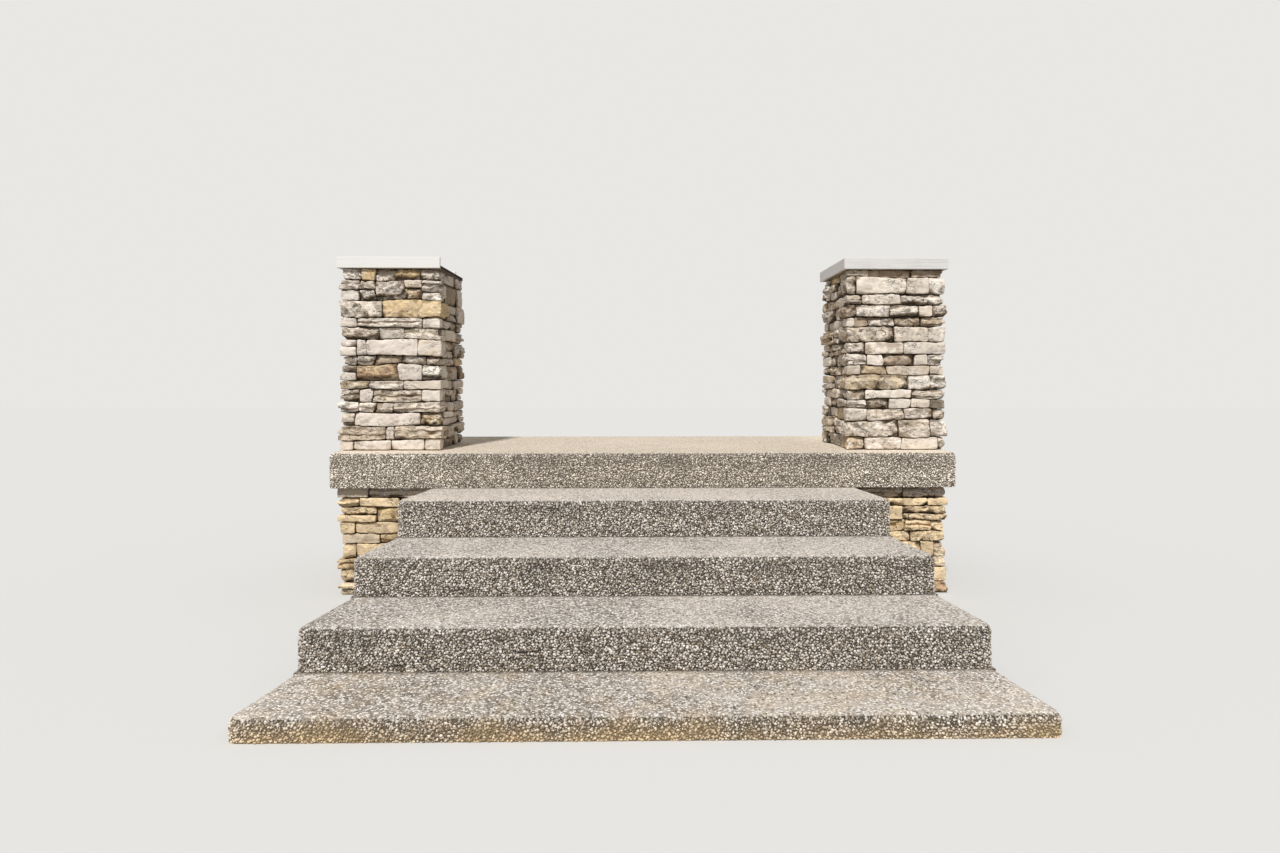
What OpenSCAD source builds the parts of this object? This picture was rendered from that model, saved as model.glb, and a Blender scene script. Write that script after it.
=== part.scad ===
// Entry steps with a landing between two stone-faced piers.
// Four poured steps, wider at the foot than at the top, lead to a landing slab.
// The slab lies on a block foundation faced with thin stone laid in courses.
// Lengths are millimetres. X runs across the flight, Y runs from the foot of
// the steps to the back of the landing, and Z is up from the lowest ground.

/* [Steps] */
// Height of the lowest riser above the ground at its foot
riser_1 = 85; // [70:5:200]
// Height of the second riser
riser_2 = 177; // [140:1:200]
// Height of the third riser
riser_3 = 180; // [140:1:200]
// Height of the fourth riser
riser_4 = 191; // [140:1:210]
// Depth of the lowest tread
tread_1 = 425; // [300:5:600]
// Depth of the second tread
tread_2 = 455; // [300:5:600]
// Depth of the third tread
tread_3 = 460; // [300:5:600]
// Depth of the fourth tread
tread_4 = 460; // [300:5:600]
// Width of the flight where it meets the landing
flight_w = 2480; // [1500:10:2600]
// Width of the flight at the front of the lowest step
foot_w = 2950; // [2700:5:3400]
// Radius of the rounded nosings and side edges
nosing_r = 28; // [12:1:36]
// Radius of the upright front corners
corner_r = 45; // [40:1:80]

/* [Landing] */
// Thickness of the landing slab, which is also the top riser
slab_t = 205; // [150:5:260]
// Width of the landing slab
landing_w = 3670; // [3000:10:4200]
// Depth of the landing slab from front to back
landing_d = 1300; // [1000:10:1800]

/* [Foundation] */
// Thickness of the block walls under the slab
wall_t = 190; // [140:5:240]
// How far the slab stands out past the stone facing, front and back
lip_front = 50; // [20:5:80]
// How far the slab stands out past the stone facing at the sides
lip_side = 50; // [20:5:80]

/* [Stone facing] */
// Thickness of the stone facing
facing_t = 40; // [30:1:60]
// Average height of a course
course_h = 72; // [45:1:100]
// Share by which one course may be higher or lower than the average
course_vary = 0.25; // [0:0.05:0.3]
// How far the deepest course lies behind the face
course_set = 9; // [2:1:12]
// Height of the open joint between two courses
joint_h = 5; // [3:1:8]
// Depth of the open joint behind its course
joint_d = 10; // [5:1:15]
// Mortar gap between the facing and the side of the flight
side_gap = 2; // [0:1:10]

/* [Piers] */
// Width and depth of a pier over its facing
pier_w = 596; // [450:2:600]
// Height of a pier from the landing to its cap
pier_h = 1092; // [700:4:1400]
// Distance from the end of the slab to the outside of a pier
pier_end = 17; // [0:1:100]
// Distance from the front of the slab to the front of a pier
pier_set = 150; // [50:5:300]

/* [Pier caps] */
// Height of the cap boards
board_h = 66; // [40:1:100]
// Thickness of the cap boards
board_t = 19; // [15:1:25]
// Thickness of the deck that lies on the pier
deck_t = 19; // [15:1:25]
// How far the cap boards stand out past the pier
cap_lip = 17; // [10:1:40]
// How far the back board of the left cap stops short of the open side of its pier
back_short = 50; // [0:5:200]

/* [Hidden] */

// Heights of the treads above the ground, lowest first
top_1 = riser_1;
top_2 = top_1 + riser_2;
top_3 = top_2 + riser_3;
top_4 = top_3 + riser_4;
floor_z = top_4 + slab_t;
cap_z = floor_z + pier_h;

// Positions of the nosings along Y, with the whole part centred on Y = 0
run = tread_1 + tread_2 + tread_3 + tread_4;
nose_1 = -(run + landing_d) / 2;
nose_2 = nose_1 + tread_1;
nose_3 = nose_2 + tread_2;
nose_4 = nose_3 + tread_3;
slab_y = nose_4 + tread_4;
back_y = slab_y + landing_d;

// How far each side of the flight moves in for each millimetre towards the landing
splay = (foot_w - flight_w) / 2 / run;

// Outside of the stone facing under the slab, and of the block walls behind it
face_x = landing_w / 2 - lip_side;
face_y0 = slab_y + lip_front;
face_y1 = back_y - lip_front;
wall_x = face_x - facing_t;
wall_y0 = face_y0 + facing_t;
wall_y1 = face_y1 - facing_t;

// Middle of the right pier, and the size of the core inside its facing
pier_x = landing_w / 2 - pier_end - pier_w / 2;
pier_y = slab_y + pier_set + pier_w / 2;
core_w = pier_w - 2 * facing_t;

// Outside of a cap, and of the deck inside its boards
cap_w = pier_w + 2 * cap_lip;
deck_w = cap_w - 2 * board_t;

// Flats that make up a rounded nosing and a rounded corner
nosing_steps = 7;
corner_steps = 9;

concrete = "#b5aa9c";
block = "#9a9790";
ledge_buff = "#cdb48a";
ledge_grey = "#c3b7a3";
painted = "#f1efe9";
raw_board = "#a89a86";

// Half the width of the flight at a place along Y
function half_w(y) = flight_w / 2 + splay * (slab_y - y);

// Relative height of one course: a slow wave, so that no two neighbours are alike
function course_share(i) = 1 + course_vary * sin(137.5 * i + 20);
function share_sum(n) = n <= 0 ? 0 : share_sum(n - 1) + course_share(n - 1);

// Height of the bottom of course i in a facing of n courses and height h
function course_z(i, n, h) = h * share_sum(i) / share_sum(n);

// How far the face of course i lies behind the front of the facing
function course_back(i) = course_set * (0.5 + 0.5 * sin(222.5 * i));

function course_count(h) = max(2, round(h / course_h));

// Right half of the plan of a poured block, at a distance in from its edge. It
// goes round the front corner and back to the place where the rounded edge stops.
function half_plan(front_w, stop_w, depth, inset) =
    let (lean = (front_w - stop_w) / 2 / depth,
         slant = sqrt(1 + lean * lean),
         turn = atan(lean),
         mid_x = front_w / 2 - (lean + slant) * corner_r)
    concat([for (k = [0 : corner_steps])
                let (a = -90 + (90 + turn) * k / corner_steps)
                [mid_x + (corner_r - inset) * cos(a), corner_r + (corner_r - inset) * sin(a)]],
           [[stop_w / 2 - slant * inset, depth]]);

function mirrored(half) = [for (i = [len(half) - 1 : -1 : 0]) [-half[i].x, half[i].y]];

// Front part of a poured block, lofted through level outlines: upright to the
// foot of the rounding, then in along a quarter circle to the top.
module rounded_front(front_w, stop_w, depth, height) {
    levels = concat([[0, 0]], [for (k = [0 : nosing_steps])
        let (a = 90 * k / nosing_steps)
        [nosing_r * (1 - cos(a)), height - nosing_r * (1 - sin(a))]]);
    rings = [for (level = levels)
        let (half = half_plan(front_w, stop_w, depth, level[0]))
        [for (p = concat(half, mirrored(half))) [p.x, p.y, level[1]]]];
    n = len(rings[0]);
    top = len(rings) - 1;
    polyhedron(points = [for (ring = rings) each ring],
        faces = concat([[for (i = [0 : n - 1]) i]],
            [for (k = [0 : top - 1]) for (i = [0 : n - 1])
                let (next = (i + 1) % n)
                [k * n + i, (k + 1) * n + i, (k + 1) * n + next, k * n + next]],
            [[for (i = [n - 1 : -1 : 0]) top * n + i]]));
}

// Poured block with its front edge on Y = 0. The edge of the top is rounded
// along the front and along side_run of each side, and square behind that.
module poured_block(front_w, back_w, depth, height, side_run) {
    stop_w = front_w + (back_w - front_w) * side_run / depth;
    rounded_front(front_w, stop_w, side_run, height);
    if (side_run < depth)
        linear_extrude(height)
            polygon([[-stop_w / 2, side_run], [stop_w / 2, side_run],
                     [back_w / 2, depth], [-back_w / 2, depth]]);
}

module flight_step(nose, under, top, tread) {
    depth = wall_y0 - nose;
    color(concrete) translate([0, nose, under])
        poured_block(2 * half_w(nose), 2 * half_w(wall_y0), depth, top - under, tread);
}

module step_1() flight_step(nose_1, 0, top_1, tread_1);
module step_2() flight_step(nose_2, top_1, top_2, tread_2);
module step_3() flight_step(nose_3, top_2, top_3, tread_3);
module step_4() flight_step(nose_4, top_3, top_4, tread_4);

module landing_slab() {
    color(concrete) translate([0, slab_y, top_4])
        poured_block(landing_w, landing_w, landing_d, slab_t, landing_d);
}

// Block walls under the slab. The front and back walls run the full width.
module foundation_front() {
    color(block) translate([-wall_x, wall_y0, 0]) cube([2 * wall_x, wall_t, top_4]);
}
module foundation_back() {
    color(block) translate([-wall_x, wall_y1 - wall_t, 0]) cube([2 * wall_x, wall_t, top_4]);
}
module foundation_side() {
    color(block) translate([wall_x - wall_t, wall_y0 + wall_t, 0])
        cube([wall_t, wall_y1 - wall_y0 - 2 * wall_t, top_4]);
}
module foundation_left() mirror([1, 0, 0]) foundation_side();
module foundation_right() foundation_side();

// Section through a facing: each course stands at its own depth, and an open
// joint runs under all but the lowest. X is depth from the face, Y is height.
module course_section(h) {
    n = course_count(h);
    face = [for (i = [0 : n - 1])
        let (low = course_z(i, n, h) + (i > 0 ? joint_h / 2 : 0),
             high = course_z(i + 1, n, h) - (i < n - 1 ? joint_h / 2 : 0),
             deep = course_back(i))
        each i < n - 1
            ? [[deep, low], [deep, high], [deep + joint_d, high],
               [deep + joint_d, high + joint_h], [course_back(i + 1), high + joint_h]]
            : [[deep, low], [deep, high]]];
    polygon(concat([[facing_t, 0]], face, [[facing_t, h]]));
}

// Outline of a facing seen from the front. At a toothed end, every second
// course goes through to the corner and the others stop a thickness short.
module toothed_outline(len, h, through, tooth_start, tooth_end) {
    n = course_count(h);
    inset = [for (i = [0 : n - 1]) i % 2 == through ? 0 : facing_t];
    start = [for (i = [0 : n - 1]) each
        [[tooth_start ? inset[i] : 0, course_z(i, n, h)],
         [tooth_start ? inset[i] : 0, course_z(i + 1, n, h)]]];
    end = [for (i = [n - 1 : -1 : 0]) each
        [[len - (tooth_end ? inset[i] : 0), course_z(i + 1, n, h)],
         [len - (tooth_end ? inset[i] : 0), course_z(i, n, h)]]];
    polygon(concat(start, end));
}

// Stone facing along X with its face on Y = 0 and its back on Y = facing_t
module ledge_facing(len, h, through = 0, tooth_start = true, tooth_end = true) {
    intersection() {
        translate([0, facing_t, 0]) rotate([90, 0, 0])
            linear_extrude(facing_t) toothed_outline(len, h, through, tooth_start, tooth_end);
        rotate([90, 0, 90]) linear_extrude(len) course_section(h);
    }
}

// Facings under the slab
module facing_front_part() {
    inner = half_w(face_y0) + side_gap;
    color(ledge_buff) translate([inner, face_y0, 0])
        ledge_facing(face_x - inner, top_4, 0, false, true);
}
module facing_front_left() mirror([1, 0, 0]) facing_front_part();
module facing_front_right() facing_front_part();
module facing_side_part() {
    color(ledge_buff) translate([face_x, face_y0, 0]) rotate([0, 0, 90])
        ledge_facing(face_y1 - face_y0, top_4, 1);
}
module facing_left() mirror([1, 0, 0]) facing_side_part();
module facing_right() facing_side_part();
module facing_back() {
    color(ledge_buff) translate([face_x, face_y1, 0]) rotate([0, 0, 180])
        ledge_facing(2 * face_x, top_4, 0);
}

// Piers. The right one is drawn, and the left one is its mirror image.
module on_pier(z) translate([pier_x, pier_y, z]) children();

module pier_core() {
    color(block) on_pier(floor_z)
        translate([-core_w / 2, -core_w / 2, 0]) cube([core_w, core_w, pier_h]);
}

// One of four facings: turned by a quarter turn for each side of the pier
module pier_facing(quarter) {
    color(ledge_grey) on_pier(floor_z) rotate([0, 0, 90 * quarter])
        translate([-pier_w / 2, -pier_w / 2, 0])
            ledge_facing(pier_w, pier_h, quarter % 2);
}
module pier_left_core() mirror([1, 0, 0]) pier_core();
module pier_left_front() mirror([1, 0, 0]) pier_facing(0);
module pier_left_outer() mirror([1, 0, 0]) pier_facing(1);
module pier_left_back() mirror([1, 0, 0]) pier_facing(2);
module pier_left_inner() mirror([1, 0, 0]) pier_facing(3);
module pier_right_core() pier_core();
module pier_right_front() pier_facing(0);
module pier_right_outer() pier_facing(1);
module pier_right_back() pier_facing(2);
module pier_right_inner() pier_facing(3);

// Caps. A flat deck lies on the stone, and mitred boards stand round its edge.
module cap_deck() {
    color(raw_board) on_pier(cap_z)
        translate([-deck_w / 2, -deck_w / 2, 0]) cube([deck_w, deck_w, deck_t]);
}

// Where an edge of a board ends, from the middle of the pier: at the mitre, or, where
// no board meets that end, at a square cut.
function board_reach(cut, mitre_w) = is_undef(cut) ? mitre_w / 2 : cut;

module cap_board(quarter, start_cut, end_cut) {
    color(painted) on_pier(cap_z) rotate([0, 0, 90 * quarter])
        linear_extrude(board_h)
            polygon([[-board_reach(start_cut, cap_w), -cap_w / 2],
                     [board_reach(end_cut, cap_w), -cap_w / 2],
                     [board_reach(end_cut, deck_w), -deck_w / 2],
                     [-board_reach(start_cut, deck_w), -deck_w / 2]]);
}
module cap_left_deck() mirror([1, 0, 0]) cap_deck();
module cap_left_front_board() mirror([1, 0, 0]) cap_board(0, start_cut = pier_w / 2);
module cap_left_outer_board() mirror([1, 0, 0]) cap_board(1);
module cap_left_back_board() mirror([1, 0, 0]) cap_board(2, end_cut = pier_w / 2 - back_short);
module cap_right_deck() cap_deck();
module cap_right_front_board() cap_board(0);
module cap_right_outer_board() cap_board(1);
module cap_right_back_board() cap_board(2);
module cap_right_inner_board() cap_board(3);

step_1();
step_2();
step_3();
step_4();
landing_slab();
foundation_front();
foundation_back();
foundation_left();
foundation_right();
facing_front_left();
facing_front_right();
facing_left();
facing_right();
facing_back();
pier_left_core();
pier_left_front();
pier_left_back();
pier_left_inner();
pier_left_outer();
pier_right_core();
pier_right_front();
pier_right_back();
pier_right_inner();
pier_right_outer();
cap_left_deck();
cap_left_front_board();
cap_left_back_board();
cap_left_outer_board();
cap_right_deck();
cap_right_front_board();
cap_right_back_board();
cap_right_outer_board();
cap_right_inner_board();
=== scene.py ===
"""Looks of wide entry steps with a landing and two stone-faced piers.

The construction comes packed, in metres, with X across the flight, Y from the foot of
the steps to the back of the landing and Z up. This script lays the pebbles of the
exposed aggregate, the split stones of the facings and the cap boards over it, gives
every surface its finish, and sets up a plain studio with a camera in front of the foot.
"""

import logging
import math
from dataclasses import dataclass, field
from enum import Enum
from functools import partial, reduce
from typing import Optional, Union

import bpy
import numpy as np
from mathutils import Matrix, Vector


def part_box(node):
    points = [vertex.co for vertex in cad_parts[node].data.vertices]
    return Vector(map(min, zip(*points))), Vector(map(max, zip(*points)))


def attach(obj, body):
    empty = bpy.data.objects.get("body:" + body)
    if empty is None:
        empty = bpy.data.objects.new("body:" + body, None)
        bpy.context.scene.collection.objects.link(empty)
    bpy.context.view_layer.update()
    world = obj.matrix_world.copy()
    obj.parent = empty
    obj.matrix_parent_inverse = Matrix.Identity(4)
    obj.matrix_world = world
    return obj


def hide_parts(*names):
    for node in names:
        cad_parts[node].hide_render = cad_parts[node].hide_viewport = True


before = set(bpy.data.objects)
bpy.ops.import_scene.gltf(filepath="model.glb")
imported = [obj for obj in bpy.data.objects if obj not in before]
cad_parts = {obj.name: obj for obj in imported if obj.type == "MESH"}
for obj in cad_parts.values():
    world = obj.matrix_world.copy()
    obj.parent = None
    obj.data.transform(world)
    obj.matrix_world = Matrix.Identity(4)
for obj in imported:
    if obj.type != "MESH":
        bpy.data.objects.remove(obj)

LOG = logging.getLogger("entry_steps")
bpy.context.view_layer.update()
ROOT = "root"
MM = 0.001

Colour = tuple[float, float, float]
Socket = bpy.types.NodeSocket
Value = Union[Socket, float, Colour]
Material = bpy.types.Material
Array = np.ndarray
Random = np.random.Generator


def srgb(*levels: int) -> Colour:
    """Turn a screen colour into linear light by the sRGB curve.

    Args:
        *levels: Its red, green and blue, from 0 to 255.

    Returns:
        The three linear levels.
    """
    shares = (level / 255 for level in levels)
    return tuple(v / 12.92 if v <= 0.04045 else ((v + 0.055) / 1.055) ** 2.4 for v in shares)


class WaveField:
    """Smooth random field over space, which keeps surfaces from being regular.

    The value at a point is a sum of sines. Each sine runs in its own random direction,
    with a wavelength from 0.6 to 1.7 times the field's and a random phase. The sum is
    scaled so that most values lie between -1 and 1.
    """

    def __init__(self, seed: int, wavelength: float, waves: int = 14) -> None:
        """Draw the directions, wavelengths and phases.

        Args:
            seed: Seed of the random draws.
            wavelength: Middle wavelength in metres.
            waves: Number of sines.
        """
        rng = np.random.default_rng(seed)
        ways = rng.normal(size=(waves, 3))
        ways /= np.linalg.norm(ways, axis=1, keepdims=True)
        lengths = wavelength * rng.uniform(0.6, 1.7, size=(waves, 1))
        self.turns = ways * 2 * math.pi / lengths
        self.phases = rng.uniform(0, 2 * math.pi, size=waves)
        self.level = 0.6 * math.sqrt(2 / waves)

    def at(self, points: Array) -> Array:
        """Give the field's value at points of any array shape that ends in three."""
        return self.level * np.sin(points @ self.turns.T + self.phases).sum(axis=-1)


@dataclass
class MeshParts:
    """Vertices, faces and vertex values of one piece, gathered from many small solids."""

    points: list[Array] = field(default_factory=list)
    faces: list[Array] = field(default_factory=list)
    values: dict[str, list[Array]] = field(default_factory=dict)
    count: int = 0

    def add(self, points: Array, faces: list[Array], **values: Array) -> None:
        """Add a closed solid or a batch of them.

        Args:
            points: Vertex positions, one row each.
            faces: Arrays of faces with as many corners, one row each, whose numbers
                start with these points.
            **values: Named vertex values, one row per vertex.
        """
        self.points.append(points)
        self.faces.extend(rows + self.count for rows in faces)
        for name, rows in values.items():
            self.values.setdefault(name, []).append(rows)
        self.count += len(points)

    def build(self, name: str, sharp_from: float) -> bpy.types.Object:
        """Make the piece's object.

        Args:
            name: Name of the object and its mesh.
            sharp_from: Angle in degrees from which an edge is shaded sharp.

        Returns:
            The linked object, at the origin.
        """
        mesh = bpy.data.meshes.new(name)
        points = np.concatenate(self.points).astype(np.float32)
        corners = np.concatenate([rows.ravel() for rows in self.faces]).astype(np.int32)
        sizes = np.concatenate([np.full(len(rows), rows.shape[1]) for rows in self.faces])
        starts = np.concatenate([[0], np.cumsum(sizes)[:-1]]).astype(np.int32)
        mesh.vertices.add(len(points))
        mesh.vertices.foreach_set("co", points.ravel())
        mesh.loops.add(len(corners))
        mesh.loops.foreach_set("vertex_index", corners)
        mesh.polygons.add(len(sizes))
        mesh.polygons.foreach_set("loop_start", starts)
        mesh.update(calc_edges=True)
        for label, rows in self.values.items():
            data = np.concatenate(rows).astype(np.float32)
            kind, key = ("FLOAT_COLOR", "color") if data.ndim == 2 else ("FLOAT", "value")
            layer = mesh.attributes.new(label, kind, "POINT")
            layer.data.foreach_set(key, data.ravel())
        mesh.polygons.foreach_set("use_smooth", np.ones(len(sizes), dtype=bool))
        mesh.set_sharp_from_angle(angle=math.radians(sharp_from))
        piece = bpy.data.objects.new(name, mesh)
        bpy.context.scene.collection.objects.link(piece)
        return piece


def install(piece: bpy.types.Object, slot: str, finish: Material, *nodes: str) -> None:
    """Dress a new piece and fasten it to the frame.

    Args:
        piece: The new piece.
        slot: Not used.
        finish: The material that it shows.
        *nodes: Nodes of the construction that it stands for.
    """
    mesh = piece.data
    mesh.materials.append(finish)
    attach(piece, ROOT)
    if nodes:
        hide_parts(*nodes)
    triangles = len(mesh.loops) - 2 * len(mesh.polygons)
    LOG.info("%s: %d vertices, %d triangles", piece.name, len(mesh.vertices), triangles)


def refinish(node: str, finish: Material) -> None:
    """Give a node of the construction its finish.

    Args:
        node: Name of the node.
        finish: The material.
    """
    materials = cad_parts[node].data.materials
    materials.clear()
    materials.append(finish)
    LOG.info("%s: %s", node, finish.name)


def heading(turn: int) -> tuple[Array, Array]:
    """Give the directions along and into a wall.

    Args:
        turn: Quarter turns from the front wall, as seen from above.

    Returns:
        The two directions.
    """
    angle = turn * math.pi / 2
    along = np.round([math.cos(angle), math.sin(angle), 0.0])
    return along, np.round([-math.sin(angle), math.cos(angle), 0.0])


def places(*parts: Union[Array, float]) -> Array:
    """Join coordinates, each an array or a number, into an array of points."""
    return np.stack(np.broadcast_arrays(*parts), -1)


def carried_faces(stations: int, rows: int) -> list[Array]:
    """Give the faces of a closed section carried along: bands of quads and two ends.

    Args:
        stations: Number of sections.
        rows: Number of points in each.

    Returns:
        The quads, and the two ends as one face each.
    """
    j, i = np.meshgrid(np.arange(stations - 1), np.arange(rows), indexing="ij")
    up = (i + 1) % rows
    quads = np.stack([j * rows + i, (j + 1) * rows + i, (j + 1) * rows + up, j * rows + up], -1)
    start = np.arange(rows)[None]
    return [quads.reshape(-1, 4), start, (stations - 1) * rows + start[:, ::-1]]


class Nodes:
    """A node tree, filled node by node."""

    def __init__(self, owner: Union[Material, bpy.types.World]) -> None:
        """Empty the tree of its owner.

        Args:
            owner: The material or world.
        """
        owner.use_nodes = True
        self.tree = owner.node_tree
        self.tree.nodes.clear()

    def feed(self, socket: Socket, value: Value) -> None:
        """Link a socket to another, or set its constant.

        Args:
            socket: The socket.
            value: The other socket, or the constant.
        """
        if isinstance(value, Socket):
            self.tree.links.new(value, socket)
        else:
            socket.default_value = (*value, 1) if socket.type == "RGBA" else value

    def node(self, kind: str, inputs: dict[Union[str, int], Value],
             **settings: str) -> bpy.types.Node:
        """Add a node.

        Args:
            kind: Its type, without the word ShaderNode.
            inputs: What feeds its inputs, by their names or numbers.
            **settings: Its other settings.

        Returns:
            The node.
        """
        node = self.tree.nodes.new(f"ShaderNode{kind}")
        for name, setting in settings.items():
            setattr(node, name, setting)
        for key, value in inputs.items():
            self.feed(node.inputs[key], value)
        return node


class Graph(Nodes):
    """A material drawn as nodes, with one method for each kind of node it needs."""

    def __init__(self, name: str) -> None:
        """Start an empty material.

        Args:
            name: Name of the material.
        """
        self.material = bpy.data.materials.new(name)
        super().__init__(self.material)
        place = self.node("TexCoord", {})
        self.place = place.outputs["Object"]
        self.facing = place.outputs["Normal"]

    def stretch(self, scale: Colour, offset: Colour = (0, 0, 0)) -> Socket:
        """Give the object's coordinates scaled along each axis and moved."""
        inputs = {"Vector": self.place, "Scale": scale, "Location": offset}
        return self.node("Mapping", inputs).outputs["Vector"]

    def noise(self, scale: float, detail: float = 4, rough: float = 0.55,
              at: Optional[Socket] = None) -> Socket:
        """Give fractal noise, from 0 to 1, of a scale per metre."""
        inputs = {"Vector": at or self.place, "Scale": scale, "Detail": detail, "Roughness": rough}
        return self.node("TexNoise", inputs).outputs["Fac"]

    def grain(self, scale: Colour, detail: float, rough: float,
              offset: Colour = (0, 0, 0)) -> Socket:
        """Give fractal noise with a scale per metre for each axis."""
        return self.noise(1.0, detail, rough, self.stretch(scale, offset))

    def cells(self, at: Socket, scale: float = 1.0, feature: str = "F1") -> bpy.types.Node:
        """Part space into irregular cells, and give their node."""
        return self.node("TexVoronoi", {"Vector": at, "Scale": scale}, feature=feature)

    def border(self, at: Socket) -> Socket:
        """Give the distance to the border of a cell, with one cell to a unit."""
        return self.cells(at, feature="DISTANCE_TO_EDGE").outputs["Distance"]

    def stones(self, scale: float, size: float,
               at: Optional[Socket] = None) -> tuple[Socket, Socket]:
        """Draw round stones, one in each cell.

        Args:
            scale: Stones per metre.
            size: Radius of the stones as a share of their spacing.
            at: Coordinates, or None for the object's own.

        Returns:
            The random tone of each stone, and a dome from 0 between them to 1 on them.
        """
        node = self.cells(at or self.place, scale)
        dome = self.remap(node.outputs["Distance"], 0.45 * size, size, 1.0, 0.0)
        return self.part(node.outputs["Color"], "X"), dome

    def flats(self, at: Socket) -> tuple[Socket, Socket]:
        """Break a surface into flats that each lean their own way.

        The height in a cell is the way from the cell's middle, taken along a random
        direction of that cell.

        Args:
            at: Coordinates, with one flat to a unit.

        Returns:
            The height, and a random number for each flat, which is high where it leans
            downwards.
        """
        node = self.cells(at)
        away = self.vector("SUBTRACT", at, node.outputs["Position"]).outputs["Vector"]
        lean = self.vector("SUBTRACT", node.outputs["Color"], (0.5, 0.5, 0.5)).outputs["Vector"]
        height = self.vector("DOT_PRODUCT", away, lean).outputs["Value"]
        return height, self.part(node.outputs["Color"], "Z")

    def vector(self, kind: str, first: Value, second: Value) -> bpy.types.Node:
        """Work on two vectors, and give the node."""
        return self.node("VectorMath", {0: first, 1: second}, operation=kind)

    def part(self, vector: Socket, axis: str) -> Socket:
        """Give one part of a vector or colour: X, Y or Z."""
        return self.node("SeparateXYZ", {"Vector": vector}).outputs[axis]

    def coordinate(self, axis: str) -> Socket:
        """Give one of the object's coordinates: X, Y or Z."""
        return self.part(self.place, axis)

    def value(self, name: str, output: str = "Fac") -> Socket:
        """Give a vertex value of the mesh as a number, or its Color or Alpha."""
        return self.node("Attribute", {}, attribute_name=name).outputs[output]

    def maths(self, kind: str, first: Value, second: Value = 0.0) -> Socket:
        """Give a sum, product or other operation on two numbers."""
        return self.node("Math", {0: first, 1: second}, operation=kind).outputs["Value"]

    def times(self, *factors: Value) -> Socket:
        """Give the product of some numbers."""
        return reduce(partial(self.maths, "MULTIPLY"), factors)

    def minus(self, first: Value, second: Value) -> Socket:
        """Give the difference of two numbers."""
        return self.maths("SUBTRACT", first, second)

    def off(self, value: Value, middle: float) -> Socket:
        """Give how far a number lies from a middle, on either side."""
        return self.maths("ABSOLUTE", self.minus(value, middle))

    def remap(self, value: Value, low: float, high: float, start: float = 0.0,
              end: float = 1.0) -> Socket:
        """Map a number smoothly from the range low to high onto start to end."""
        inputs = {"Value": value, "From Min": low, "From Max": high, "To Min": start, "To Max": end}
        return self.node("MapRange", inputs, interpolation_type="SMOOTHSTEP").outputs["Result"]

    def steps(self, value: Socket, starts: tuple[float, ...], colours: tuple) -> Socket:
        """Turn a number into one of some colours.

        Args:
            value: The number.
            starts: The number from which each colour is taken.
            colours: The colours.

        Returns:
            The colour.
        """
        node = self.node("ValToRGB", {"Fac": value})
        ramp = node.color_ramp
        ramp.interpolation = "CONSTANT"
        while len(ramp.elements) < len(starts):
            ramp.elements.new(0.5)
        for element, start, colour in zip(ramp.elements, starts, colours):
            element.position = start
            element.color = (*colour, 1)
        return node.outputs["Color"]

    def mix(self, share: Value, first: Value, second: Value, kind: str = "MIX") -> Socket:
        """Mix two colours by a share, or multiply the second over the first."""
        inputs = {0: share, 6: first, 7: second}
        return self.node("Mix", inputs, data_type="RGBA", blend_type=kind).outputs[2]

    def shaded(self, colour: Socket, light: Socket) -> Socket:
        """Multiply a colour by a number."""
        return self.mix(1.0, colour, light, "MULTIPLY")

    def bump(self, height: Value, distance: float, strength: Value = 1.0,
             under: Optional[Socket] = None) -> Socket:
        """Bend the normal by a height.

        Args:
            height: The height, from 0 to 1.
            distance: What 1 stands for, in metres.
            strength: Share of the bending.
            under: A normal that was bent before, or None.

        Returns:
            The bent normal.
        """
        inputs = {"Strength": strength, "Distance": distance, "Height": height}
        if under is not None:
            inputs["Normal"] = under
        return self.node("Bump", inputs).outputs["Normal"]

    def close(self, colour: Value, roughness: float, normal: Optional[Socket] = None,
              gloss: float = 0.3) -> Material:
        """End the graph in a surface shader.

        Args:
            colour: Colour of the surface.
            roughness: Its roughness.
            normal: Its bent normal, or None.
            gloss: Strength of its reflection.

        Returns:
            The material.
        """
        inputs = {"Base Color": colour, "Roughness": roughness, "Specular IOR Level": gloss}
        if normal is not None:
            inputs["Normal"] = normal
        shader = self.node("BsdfPrincipled", inputs)
        self.node("OutputMaterial", {"Surface": shader.outputs["BSDF"]})
        return self.material


@dataclass(frozen=True)
class Void:
    """A hollow in a front that the concrete didn't fill: its middle and half its size."""

    x: float
    z: float
    half_length: float
    half_height: float


@dataclass(frozen=True)
class BlockWeather:
    """Where and how much a block is stained.

    Attributes:
        top: Height of its top.
        soil_top: Height up to which soil stains it.
        soil_share: How much soil covers it at the ground.
        washed: How far the paste is washed out between its tread's stones.
        film: How much paste lies as a film on its tread's stones.
        ends: How much paler its ends are than its middle.
        foot: Height from which its riser shows.
        foot_shade: How light its riser's foot is painted: below 1 a painted shade in the crease
            over the tread below, above 1 paler, dusted with soil.
        crease: Y from which the next block stands on it.
        voids: Hollows in its front.
    """

    top: float
    soil_top: float
    soil_share: float
    washed: float
    film: float
    ends: float = 1.0
    foot: float = 0.0
    foot_shade: float = 1.0
    crease: float = 1000.0
    voids: tuple[Void, ...] = ()


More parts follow.
